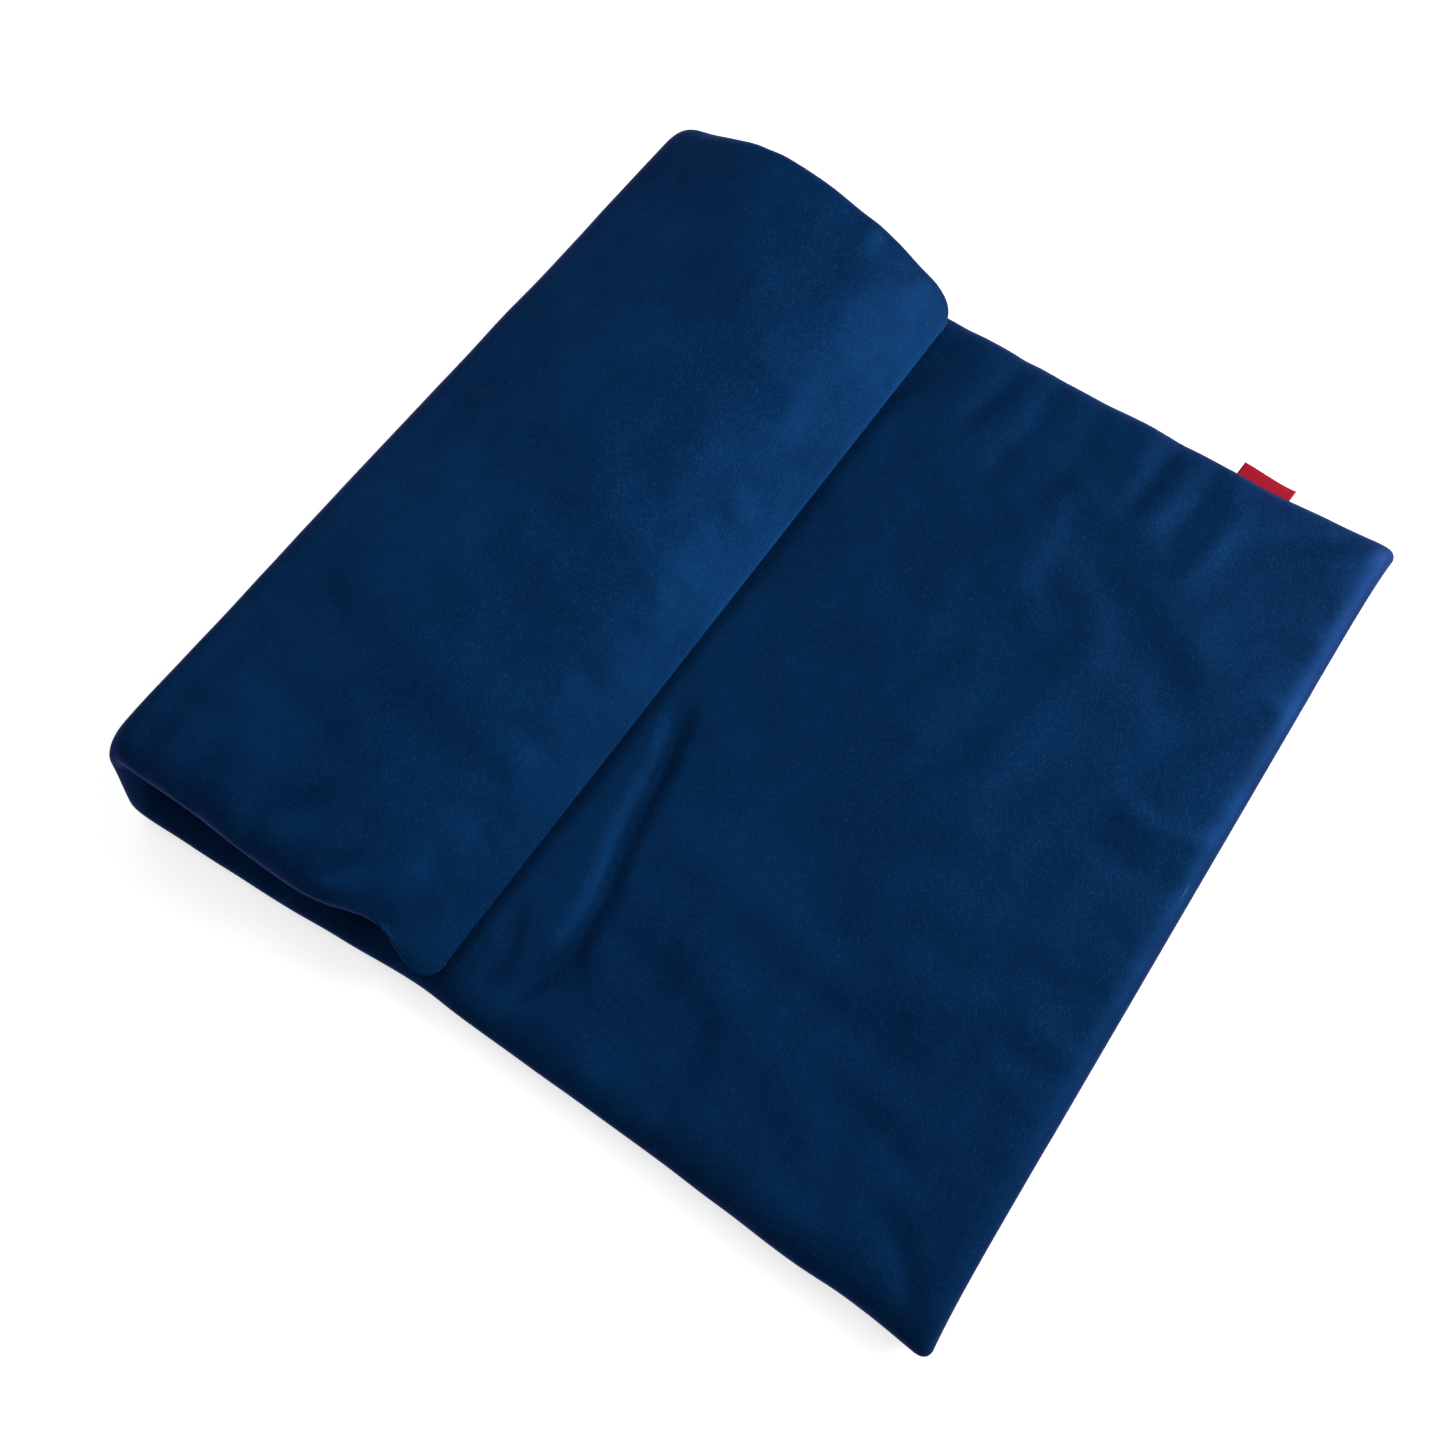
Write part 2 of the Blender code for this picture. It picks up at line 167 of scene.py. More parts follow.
def nap_group() -> bpy.types.NodeTree:
    """Build the brushed nap of a cotton cloth.

    Returns:
        A group with the place and grain size in, and a shade from 0 to 1, a mask of loose
        fibres and a height out.
    """
    kinds = "NodeSocketVector", "NodeSocketFloat"
    inputs = [("Place", kinds[0], None), ("Grain", kinds[1], 900.0), ("Fibre", kinds[1], 2200.0)]
    outputs = [("Shade", kinds[1]), ("Fibres", kinds[1]), ("Height", kinds[1])]
    tree = shader_group("brushed_nap", inputs, outputs)
    nodes = NodeTree(tree)
    entry = nodes.add("NodeGroupInput")
    place, grain, fibre = entry.outputs["Place"], entry.outputs["Grain"], entry.outputs["Fibre"]
    cloudy = nodes.noise(place, 9.0, 3.0, 0.55)
    brushed = nodes.noise(nodes.stretched(place, (1.0, 0.35, 1.0), 0.5), 60.0, 3.0, 0.6)
    grains = nodes.add("ShaderNodeTexNoise", {"Vector": place, "Scale": grain, "Detail": 2.0}).outputs["Fac"]
    threads = []
    for turn, shift in ((0.35, 0.0), (1.25, 3.1), (2.2, 7.7)):
        moved = nodes.add("ShaderNodeVectorMath", {0: place, 1: (shift, shift, 0.0)}, operation="ADD")
        spot = moved.outputs[0]
        wavy = nodes.add("ShaderNodeTexNoise", {"Vector": spot, "Scale": 40.0, "Detail": 1.0})
        values = {0: wavy.outputs["Color"], 1: (0.006, 0.006, 0.0), 2: spot}
        bent = nodes.add("ShaderNodeVectorMath", values, operation="MULTIPLY_ADD")
        line = nodes.stretched(bent.outputs[0], (1.0, 0.10, 1.0), turn)
        streak = nodes.add("ShaderNodeTexNoise", {"Vector": line, "Scale": fibre, "Detail": 0.0})
        threads.append(nodes.remap(streak.outputs["Fac"], 0.70, 0.80, 0.0, 1.0))
    fibres = nodes.math("MAXIMUM", nodes.math("MAXIMUM", threads[0], threads[1]), threads[2])
    shade = nodes.math("ADD", nodes.math("MULTIPLY", cloudy, 0.45), nodes.math("MULTIPLY", brushed, 0.25))
    shade = nodes.math("ADD", shade, nodes.math("MULTIPLY", grains, 0.30))
    height = nodes.math("ADD", nodes.math("MULTIPLY", grains, 0.6), nodes.math("MULTIPLY", fibres, 0.4))
    nodes.add("NodeGroupOutput", {"Shade": shade, "Fibres": fibres, "Height": height})
    return tree


def weave_group() -> bpy.types.NodeTree:
    """Build a plain weave of crossing threads.

    Returns:
        A group with the place and threads per metre in, and a shade and a height out.
    """
    kinds = "NodeSocketVector", "NodeSocketFloat"
    inputs = [("Place", kinds[0], None), ("Threads", kinds[1], 1200.0)]
    outputs = [("Shade", kinds[1]), ("Height", kinds[1])]
    tree = shader_group("crossed_threads", inputs, outputs)
    nodes = NodeTree(tree)
    entry = nodes.add("NodeGroupInput")
    parts = nodes.add("ShaderNodeSeparateXYZ", {0: entry.outputs["Place"]}).outputs
    turns = nodes.math("MULTIPLY", entry.outputs["Threads"], math.pi)
    warp = nodes.math("ABSOLUTE", nodes.math("SINE", nodes.math("MULTIPLY", parts[0], turns)))
    weft = nodes.math("ABSOLUTE", nodes.math("SINE", nodes.math("MULTIPLY", parts[1], turns)))
    height = nodes.math("MAXIMUM", warp, weft)
    uneven = nodes.noise(entry.outputs["Place"], 45.0, 3.0, 0.6)
    shade = nodes.math("ADD", nodes.math("MULTIPLY", height, 0.4), nodes.math("MULTIPLY", uneven, 0.6))
    nodes.add("NodeGroupOutput", {"Shade": shade, "Height": height})
    return tree


class GroupShelf:
    """The shader groups that several finishes share, each built once."""

    def __init__(self) -> None:
        """Build the groups."""
        self.nap = nap_group()
        self.weave = weave_group()


def new_material(name: str) -> tuple[bpy.types.Material, NodeTree, bpy.types.Node]:
    """Make a material.

    Args:
        name: its name.

    Returns:
        The material, its tree and its Principled shader.
    """
    made = bpy.data.materials.new(name)
    made.use_nodes = True
    return made, NodeTree(made.node_tree), made.node_tree.nodes["Principled BSDF"]


@dataclass(frozen=True)
class CoverCloth:
    """Dark blue brushed satin cotton, with a soft sheen and loose fibres."""

    name: str = "cover_cloth"
    dark: tuple = (0.0008, 0.0090, 0.0330, 1.0)
    light: tuple = (0.0012, 0.0150, 0.0530, 1.0)
    fibre: tuple = (0.012, 0.060, 0.170, 1.0)
    roughness: float = 0.52
    metallic: float = 0.42          # share of the gloss that takes the cloth's own colour, as on satin
    sheen: float = 0.06
    sheen_roughness: float = 0.35
    sheen_tint: tuple = (0.01, 0.30, 0.95, 1.0)
    specular: float = 0.04
    specular_tint: tuple = (0.01, 0.30, 1.0, 1.0)

    def build(self, shelf: GroupShelf) -> bpy.types.Material:
        """Make the material, whose pattern follows the cloth's own UV map.

        Args:
            shelf: the shared shader groups.

        Returns:
            The material.
        """
        made, nodes, shader = new_material(self.name)
        place = nodes.add("ShaderNodeUVMap", uv_map="cloth").outputs[0]
        nap = nodes.add("ShaderNodeGroup", {"Place": place}, node_tree=shelf.nap).outputs
        colour = nodes.mix(nodes.remap(nap["Shade"], 0.36, 0.62, 0.0, 1.0), self.dark, self.light)
        fibres = nodes.math("MULTIPLY", nap["Fibres"], 0.22)
        colour = nodes.mix(fibres, colour, self.fibre)
        nodes.tree.links.new(colour, shader.inputs["Base Color"])
        rough = nodes.remap(nap["Shade"], 0.3, 0.7, self.roughness + 0.05, self.roughness - 0.05)
        nodes.tree.links.new(rough, shader.inputs["Roughness"])
        shader.inputs["Specular IOR Level"].default_value = self.specular
        shader.inputs["Specular Tint"].default_value = self.specular_tint
        shader.inputs["Metallic"].default_value = self.metallic
        shader.inputs["Sheen Weight"].default_value = self.sheen
        shader.inputs["Sheen Roughness"].default_value = self.sheen_roughness
        shader.inputs["Sheen Tint"].default_value = self.sheen_tint
        bump = nodes.add("ShaderNodeBump", {"Height": nap["Height"], "Strength": 0.35, "Distance": 0.0004})
        nodes.tree.links.new(bump.outputs[0], shader.inputs["Normal"])
        return made


@dataclass(frozen=True)
class WovenCloth:
    """A matt woven cloth or felt."""

    name: str
    dark: tuple
    light: tuple
    threads: float = 900.0
    roughness: float = 0.9
    sheen: float = 0.15
    relief: float = 0.0003

    def build(self, shelf: GroupShelf) -> bpy.types.Material:
        """Make the material, whose weave lies on the object's own coordinates.

        Args:
            shelf: the shared shader groups.

        Returns:
            The material.
        """
        made, nodes, shader = new_material(self.name)
        place = nodes.add("ShaderNodeTexCoord").outputs["Object"]
        weave = nodes.add("ShaderNodeGroup", {"Place": place, "Threads": self.threads}, node_tree=shelf.weave)
        colour = nodes.mix(weave.outputs["Shade"], self.dark, self.light)
        nodes.tree.links.new(colour, shader.inputs["Base Color"])
        shader.inputs["Roughness"].default_value = self.roughness
        shader.inputs["Sheen Weight"].default_value = self.sheen
        relief = {"Height": weave.outputs["Height"], "Strength": 0.5, "Distance": self.relief}
        bump = nodes.add("ShaderNodeBump", relief)
        nodes.tree.links.new(bump.outputs[0], shader.inputs["Normal"])
        return made


@dataclass(frozen=True)
class Ribbon:
    """A satin woven ribbon with fine ribs across it."""

    name: str = "label_ribbon"
    dark: tuple = (0.130, 0.0016, 0.0070, 1.0)
    light: tuple = (0.215, 0.0040, 0.0140, 1.0)
    ribs: float = 1500.0

    def build(self, shelf: GroupShelf) -> bpy.types.Material:
        """Make the material.

        Args:
            shelf: the shared shader groups.

        Returns:
            The material.
        """
        made, nodes, shader = new_material(self.name)
        place = nodes.add("ShaderNodeTexCoord").outputs["Object"]
        weave = nodes.add("ShaderNodeGroup", {"Place": place, "Threads": self.ribs}, node_tree=shelf.weave)
        colour = nodes.mix(weave.outputs["Shade"], self.dark, self.light)
        nodes.tree.links.new(colour, shader.inputs["Base Color"])
        shader.inputs["Roughness"].default_value = 0.6
        shader.inputs["Specular IOR Level"].default_value = 0.03
        relief = {"Height": weave.outputs["Height"], "Strength": 0.4, "Distance": 0.0002}
        bump = nodes.add("ShaderNodeBump", relief)
        nodes.tree.links.new(bump.outputs[0], shader.inputs["Normal"])
        return made


@dataclass(frozen=True)
class Solid:
    """A smooth finish, such as cast metal, nylon or a spun thread, with a faint unevenness."""

    name: str
    colour: tuple
    roughness: float
    metallic: float = 0.0

    def build(self) -> bpy.types.Material:
        """Make the material.

        Returns:
            The material.
        """
        made, nodes, shader = new_material(self.name)
        place = nodes.add("ShaderNodeTexCoord").outputs["Object"]
        uneven = nodes.noise(place, 700.0, 2.0)
        shade = nodes.mix(uneven, tuple(0.82 * c for c in self.colour[:3]) + (1.0,), self.colour)
        nodes.tree.links.new(shade, shader.inputs["Base Color"])
        rough = nodes.remap(uneven, 0.3, 0.7, self.roughness - 0.06, self.roughness + 0.06)
        nodes.tree.links.new(rough, shader.inputs["Roughness"])
        shader.inputs["Metallic"].default_value = self.metallic
        return made


TICKING_CLOTH = WovenCloth("ticking_cloth", (0.60, 0.56, 0.46, 1.0), (0.80, 0.76, 0.66, 1.0))
COTTON_BATTING = WovenCloth("cotton_batting", (0.74, 0.73, 0.69, 1.0), (0.88, 0.87, 0.84, 1.0),
                            260.0, 0.95, 0.4, 0.0012)
FIRM_CORE = WovenCloth("firm_core", (0.46, 0.47, 0.48, 1.0), (0.60, 0.61, 0.62, 1.0), 420.0)
ZIP_TAPE = WovenCloth("zip_cloth", (0.003, 0.010, 0.035, 1.0), (0.006, 0.020, 0.060, 1.0), 1600.0, 0.8, 0.05)
SEWING_THREAD = Solid("seam_thread", (0.0016, 0.014, 0.050, 1.0), 0.6)
ZIP_NYLON = Solid("zip_nylon", (0.010, 0.022, 0.060, 1.0), 0.38)
ZIP_METAL = Solid("zip_metal", (0.42, 0.42, 0.44, 1.0), 0.32, 1.0)


# ---------------------------------------------------------------------------------------------
# The fold's geometry
# ---------------------------------------------------------------------------------------------


def smooth(value: np.ndarray, low: float, high: float) -> np.ndarray:
    """Return a smooth step from 0 at low to 1 at high."""
    share = np.clip((value - low) / (high - low), 0.0, 1.0)
    return share * share * (3.0 - 2.0 * share)


def plump(distance: np.ndarray, reach: float, power: float) -> np.ndarray:
    """Return how far a padded edge has filled out, from 0 on the seam to 1 at reach."""
    share = np.clip(distance / reach, 0.0, 1.0)
    return (1.0 - (1.0 - share) ** power) ** (1.0 / power)


def graded(length: float, start: Sequence[float], end: Sequence[float], step: float) -> np.ndarray:
    """Return places along a length, fine at both ends and even between.

    Args:
        length: the whole length in metres.
        start: the first gaps in millimetres, after a leading 0.
        end: the last gaps in millimetres, counted from the end.
        step: the even gap in metres.

    Returns:
        The places, from 0 to length.
    """
    head = np.cumsum(start) * MM
    tail = length - np.cumsum(end)[::-1] * MM
    count = max(1, round((tail[0] - head[-1]) / step))
    middle = np.linspace(head[-1], tail[0], count + 1)[1:-1]
    return np.concatenate([head, middle, tail])


def spread(values: np.ndarray, count: int) -> np.ndarray:
    """Even out values along a line.

    Args:
        values: the values.
        count: how many of them are averaged at a time, an odd number.

    Returns:
        As many values.
    """
    kernel = np.hanning(count) / np.hanning(count).sum()
    return np.convolve(np.pad(values, count // 2, mode="edge"), kernel, mode="valid")


class Curve:
    """A line in the X-Z plane with rounded corners."""

    def __init__(self, corners: Sequence[tuple[float, float, float]]) -> None:
        """Draw the line.

        Args:
            corners: x, z and the length of line that each corner's rounding takes on each side.
        """
        points = [np.array(corners[0][:2])]
        self.stations = [0.0]
        travelled = 0.0
        for before, corner, after in zip(corners, corners[1:], corners[2:]):
            here = np.array(corner[:2])
            back = np.array(before[:2]) - here
            ahead = np.array(after[:2]) - here
            first = here + back / np.linalg.norm(back) * corner[2]
            last = here + ahead / np.linalg.norm(ahead) * corner[2]
            for share in np.linspace(0.0, 1.0, 17):
                bend = (1 - share) ** 2 * first + 2 * share * (1 - share) * here + share**2 * last
                travelled += np.linalg.norm(bend - points[-1])
                points.append(bend)
                if abs(share - 0.5) < 1e-6:
                    self.stations.append(travelled)
        points.append(np.array(corners[-1][:2]))
        self.points = np.array(points)
        gaps = np.linalg.norm(np.diff(self.points, axis=0), axis=1)
        self.travel = np.concatenate([[0.0], np.cumsum(gaps)])
        self.stations.append(self.travel[-1])

    def at(self, distance: np.ndarray) -> np.ndarray:
        """Return the line's points at distances along it."""
        return np.stack([np.interp(distance, self.travel, self.points[:, k]) for k in (0, 1)], axis=1)


@dataclass
class FoldPath:
    """The two lines that the cover's sheets follow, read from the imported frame.

    The lines run from the flat end, under the lying part, up the riser and along the flap.
    """

    riser_lean: float = 0.010       # of the fold's foot in from its upper edge
    crease_gap: float = 0.0225      # from the fold's outer face to the crease inside it
    droop: float = 0.052            # from the flap's end back to where it bends down
    end_height: float = 0.0405      # of the flap's upper line at its end
    under_flap: float = 0.0014      # of the flap's lower line above the lying part
    end_x: float = field(init=False)
    fold_x: float = field(init=False)
    nose_x: float = field(init=False)
    thickness: float = field(init=False)
    width: float = field(init=False)
    mid_y: float = field(init=False)
    skew: float = field(init=False)

    def __post_init__(self) -> None:
        """Read the sizes from the frame and lay out the rows of the cloth."""
        joints = {joint["name"]: joint for joint in frame["joints"]}
        self.fold_x, self.mid_y = joints["fold"]["pos_m"][:2]
        self.riser_top = joints["flap_lift"]["pos_m"][2]
        self.crest = (joints["flap_unbend"]["pos_m"][0], joints["flap_unbend"]["pos_m"][2])
        self.end_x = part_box("cover_outer_lying_half")[1].x
        self.nose_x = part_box("cover_outer_flap_front")[1].x
        self.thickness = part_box("cover_inner_lying_half")[1].z
        low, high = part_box("cover_outer_riser")
        self.width = high.y - low.y
        self.skew = self.mid_y - (low.y + high.y) / 2
        self.outer = Curve(self.outer_corners())
        self.inner = Curve(self.inner_corners())

    def outer_corners(self) -> list[tuple[float, float, float]]:
        """Return the outer sheet's line: floor, foot, upper edge, crest, droop and end."""
        end_z = self.end_height
        droop_x = self.nose_x - self.droop
        share = (droop_x - self.crest[0]) / (self.nose_x - self.crest[0])
        droop_z = self.crest[1] - share * (self.crest[1] - end_z) + 0.0055
        return [
            (self.end_x, 0.0, 0.0),
            (self.fold_x + self.riser_lean, 0.0, 0.016),
            (self.fold_x + 0.0006, self.riser_top + 0.0015, 0.020),
            (self.crest[0], self.crest[1] + 0.0015, 0.060),
            (droop_x, droop_z, 0.035),
            (self.nose_x + 0.0015, end_z, 0.0),
        ]

    def inner_corners(self) -> list[tuple[float, float, float]]:
        """Return the inner sheet's line: top, lower crease, upper crease, underside and end."""
        top = self.thickness
        under = top + self.under_flap
        crease_x = self.fold_x + self.crease_gap
        return [
            (self.end_x, top, 0.0),
            (crease_x + self.riser_lean * 0.8, 0.76 * top, 0.007),
            (crease_x + 0.001, self.riser_top - 0.022, 0.007),
            (self.crest[0] - 0.004, self.crest[1] - top * 0.98, 0.045),
            (self.nose_x - 0.047, under, 0.030),
            (self.nose_x + 0.0015, under + 0.001, 0.0),
        ]

    def rows(self, step: float) -> dict[str, np.ndarray]:
        """Lay out the rows of the cloth along the mat.

        Args:
            step: the even gap between rows.

        Returns:
            For each row its distance from the flat end, its length's number, the share of that
            length, both lines' points and normals, and the shift along Y.
        """
        length_of, share_of, outer, inner, travel = [], [], [], [], []
        before = 0.0
        stations = list(zip(self.outer.stations, self.inner.stations))
        spans = [(stations[i], stations[i + 1]) for i in range(3)] + [(stations[3], stations[5])]
        for number, (start, end) in enumerate(spans):
            span = ((end[0] - start[0]) + (end[1] - start[1])) / 2
            head = SEAM_SIDE_STEPS if number == 0 else FOLD_STEPS
            tail = SEAM_SIDE_STEPS if number == 3 else FOLD_STEPS
            if number == 1:
                places = np.linspace(0.0, span, 16)
            else:
                places = graded(span, head, tail, step)
            shares = places / span
            keep = slice(0 if number == 0 else 1, None)
            outer.append(self.outer.at(start[0] + shares * (end[0] - start[0]))[keep])
            inner.append(self.inner.at(start[1] + shares * (end[1] - start[1]))[keep])
            travel.append((before + places)[keep])
            length_of.append(np.full(len(places), number)[keep])
            share_of.append(shares[keep])
            before += span
        rows = {
            "travel": np.concatenate(travel),
            "length": np.concatenate(length_of),
            "share": np.concatenate(share_of),
            "outer": np.concatenate(outer),
            "inner": np.concatenate(inner),
        }
        rows["shift"] = self.shift(rows)
        for name, sign in (("outer", 1.0), ("inner", -1.0)):
            tangent = np.gradient(rows[name], axis=0)
            tangent /= np.linalg.norm(tangent, axis=1)[:, None]
            rows[f"{name}_normal"] = sign * np.stack([-tangent[:, 1], tangent[:, 0]], axis=1)
        return rows

    def shift(self, rows: dict[str, np.ndarray]) -> np.ndarray:
        """Skew the flap, which is turned over askew.

        Args:
            rows: the two faces' lines and lengths.

        Returns:
            Each row's shift along Y.
        """
        middle = (rows["outer"] + rows["inner"]) / 2
        covered = np.clip((self.nose_x - middle[:, 0]) / (self.nose_x - self.fold_x), 0.0, 1.0)
        share = np.where(rows["length"] == 1, 1.0, covered)
        return -self.skew * spread(share, 9)


class Unevenness:
    """Smooth value noise on a seeded lattice, for cloth that lies unevenly."""

    def __init__(self, seed: int) -> None:
        """Fill the lattice.

        Args:
            seed: the fixed seed of its values.
        """
        self.lattice = np.random.default_rng(seed).uniform(-1.0, 1.0, (256, 256))

    def at(self, x: np.ndarray, y: np.ndarray) -> np.ndarray:
        """Read the noise.

        Args:
            x: lattice coordinates.
            y: the other lattice coordinates.

        Returns:
            Its values, from -1 to 1.
        """
        column, line = np.floor(x).astype(int), np.floor(y).astype(int)
        u, v = x - column, y - line
        u, v = u * u * u * (u * (6 * u - 15) + 10), v * v * v * (v * (6 * v - 15) + 10)
        corner = [[self.lattice[(column + i) % 256, (line + j) % 256] for j in (0, 1)] for i in (0, 1)]
        low = corner[0][0] * (1 - u) + corner[1][0] * u
        high = corner[0][1] * (1 - u) + corner[1][1] * u
        return low * (1 - v) + high * v


@dataclass(frozen=True)
class Fold:
    """One soft fold in the cloth, a ridge or, if its height is below 0, a hollow."""

    line: tuple[tuple[float, float], ...]      # x, y of its bends, seen from above
    width: float
    height: float
    fade: float = 0.030

    def at(self, x: np.ndarray, y: np.ndarray) -> np.ndarray:
        """Read the fold.

        Args:
            x: places seen from above.
            y: their other coordinate.

        Returns:
            Its height at each place.
        """
        best = np.full(x.shape, np.inf)
        spot = np.zeros(x.shape)
        done = 0.0
        for start, end in zip(self.line, self.line[1:]):
            along = np.array(end) - np.array(start)
            length = np.hypot(*along)
            share = np.clip(((x - start[0]) * along[0] + (y - start[1]) * along[1]) / length**2, 0.0, 1.0)
            gap = np.hypot(x - start[0] - share * along[0], y - start[1] - share * along[1])
            near = gap < best
            best = np.where(near, gap, best)
            spot = np.where(near, done + share * length, spot)
            done += length
        ends = smooth(spot, -0.3 * self.fade, self.fade) * smooth(done - spot, -0.3 * self.fade, self.fade)
        return self.height * np.exp(-((best / self.width) ** 2)) * ends


@dataclass
class PadForm:
    """The mat's plump form as rows and columns of cloth, from the seam round its edge inwards."""

    path: FoldPath
    step: float
    setback: float = 0.0            # of the first and last column from the seam
    top_reach: float = 0.028        # how far in from the seam the upper face goes on rising
    floor_reach: float = 0.017      # the same on the face that lies on the floor
    flap_reach: float = 0.027
    end_reach: float = 0.022
    nose_reach: float = 0.060
    ear: float = 0.0030             # how far the flat end's corners stand out
    ear_reach: float = 0.030
    end_radius: float = 0.008       # of the flat end's corners
    stray: float = 0.0016           # how far the seams stray from straight lines
    stray_step: float = 0.052       # along the seam
    stray_reach: float = 0.040      # in from the seam
    lip: float = 0.0095             # how far the flap's near seam waves up and down
    lip_step: float = 0.026         # along the seam, and in from it
    rim_step: float = 0.044         # of the weaker waves in all of the fold's seams
    rim_reach: float = 0.022
    pinch: float = 0.013            # how far the flap's near seam is drawn in behind its corner
    pinch_from_end: float = 0.056
    pinch_reach: float = 0.030
    near_radius: float = 0.016      # of the flap's near corner
    far_radius: float = 0.034       # of the flap's far corner
    near_inset: tuple = (0.007, 0.005, 0.003, 0.005, 0.025, 0.005)        # of the near edge, see along()
    far_inset: tuple = (0.005, 0.010, 0.011, -0.002, -0.003, 0.006)       # of the far edge
    far_lift: float = 0.014         # how much higher the flap's far end stands
    lift_reach: float = 0.090
    far_reach: float = 0.016        # how far in from the flap's far seam its upper face goes on rising
    rows: dict = field(init=False)

    def __post_init__(self) -> None:
        """Lay out the rows and columns."""
        self.rows = self.path.rows(self.step)
        width = self.path.width - 2 * self.setback
        steps = SEAM_SIDE_STEPS if self.setback == 0.0 else (0.0, 6.0)
        self.columns = self.setback + graded(width, steps, steps, self.step)

    def grid(self) -> tuple[np.ndarray, ...]:
        """Return the distance along the mat, across it and from the nearer side seam, as grids."""
        travel = self.rows["travel"][:, None] + 0.0 * self.columns[None, :]
        column = self.columns[None, :] + 0.0 * travel
        side = np.minimum(column, self.path.width - column)
        return travel, column, side

    def along(self, at_stations: Sequence[float]) -> np.ndarray:
        """Spread values along the mat.

        Args:
            at_stations: the values at the flat end, mid-way, dividing line, foot, ridge and end.

        Returns:
            A value for each row.
        """
        length, travel, x = self.rows["length"], self.rows["travel"], self.rows["outer"][:, 0]
        foot, ridge = travel[length == 0][-1], travel[length == 1][-1]
        dividing = float(np.interp(-self.path.nose_x, -x[length == 0], travel[length == 0]))
        stations = (0.0, 0.45 * dividing, dividing, foot, ridge, travel[-1])
        return spread(np.interp(travel, stations, at_stations), 15)

    def across(self) -> np.ndarray:
        """Return every grid point's Y."""
        travel, column, side = self.grid()
        left = self.rows["travel"][-1] - travel
        half = self.path.width / 2
        where = (column - half) / half
        radius = np.where(where < 0, self.near_radius, self.far_radius)
        rounding = self.rounded(left, radius) + self.rounded(travel, self.end_radius + 0.0 * radius)
        inset = np.where(where < 0, self.along(self.near_inset)[:, None], self.along(self.far_inset)[:, None])
        drawn_in = self.pinch * np.exp(-(((left - self.pinch_from_end) / self.pinch_reach) ** 2))
        inset = inset + np.where(where < 0, drawn_in, 0.0)
        spot = travel / self.stray_step + np.where(where < 0, 3.0, 90.0)
        sway = self.stray * Unevenness(5).at(spot, 0.3 + 0.0 * spot) * np.exp(-side / self.stray_reach)
        reach = half - inset - rounding
        skewed = self.path.mid_y + self.rows["shift"][:, None]
        return skewed + where * reach + np.sign(where) * self.ears() + sway

    def ears(self) -> np.ndarray:
        """Return how far each grid point is drawn out with the flat end's corners."""
        travel, _, side = self.grid()
        return self.ear * np.exp(-travel / self.ear_reach) * np.exp(-side / self.ear_reach)

    @staticmethod
    def rounded(distance: np.ndarray, radius: np.ndarray) -> np.ndarray:
        """Round a corner.

        Args:
            distance: distance from the corner, along one of its edges.
            radius: the corner's radius.

        Returns:
            How far the other edge is drawn in.
        """
        rest = np.clip(radius - distance, 0.0, radius)
        return radius - np.sqrt(np.clip(radius**2 - rest**2, 0.0, None))

    def waves(self) -> np.ndarray:
        """Wave the fold's seams up and down.

        Returns:
            The height of the waves at each grid point, for both faces alike.
        """
        travel, column, side = self.grid()
        length = self.rows["length"]
        ridge, end = self.rows["travel"][length == 1][-1], self.rows["travel"][-1]
        noise = Unevenness(9)
        flap = smooth(travel, ridge, ridge + 0.040) * smooth(travel, end - 0.004, end - 0.050)
        slanted = travel / self.lip_step + 0.35 * column / self.lip_step
        lip = noise.at(slanted, 0.4 + side / 0.150) * np.exp(-column / self.lip_step) * flap
        top = smooth(travel, ridge - 0.060, ridge) * (length >= 1)[:, None] * smooth(travel, end, end - 0.03)
        rim = noise.at(travel / self.rim_step + 60.0, 8.0 + column / 0.300)
        rim = rim * np.exp(-side / self.rim_reach) * top
        return self.lip * lip + 0.2 * self.lip * rim

    def lift(self) -> np.ndarray:
        """Raise the flap towards its far seam.

        Returns:
            How much higher each grid point stands.
        """
        _, column, _ = self.grid()
        far = self.path.width - column
        x, run, length = self.rows["outer"][:, 0], self.rows["travel"], self.rows["length"]
        ridge = run[length == 1][-1]
        window = smooth(run, ridge - 0.020, ridge + 0.110) * (length >= 1)
        end = -self.path.nose_x
        window = window * np.where(length == 3, smooth(-x, end + 0.012, end + 0.085), 1.0)
        return self.far_lift * window[:, None] * np.exp(-far / self.lift_reach)

    def fullness(self, sheet: Sheet) -> np.ndarray:
        """Round a sheet off towards its seams.

        Args:
            sheet: which face.

        Returns:
            How far each grid point has left the seam's plane, from 0 to 1.
        """
        travel, column, side = self.grid()
        length = self.rows["length"][:, None] + 0 * column.astype(int)
        lying = self.floor_reach if sheet is Sheet.OUTER else self.top_reach
        reach = np.where(length == 0, lying, self.flap_reach)
        reach = np.stack([spread(reach[:, 0], 15)] * reach.shape[1], 1)
        if sheet is Sheet.OUTER:
            lifted = np.clip(1.6 * (self.lift() / self.far_lift), 0.0, 1.0)
            reach = reach + (self.far_reach - reach) * lifted * (column > self.path.width / 2)
        left = self.rows["travel"][-1] - travel
        flat_end = plump(travel, self.end_reach, 2.4)
        return plump(side, reach, 2.2) * flat_end * plump(left, self.nose_reach, 2.1)

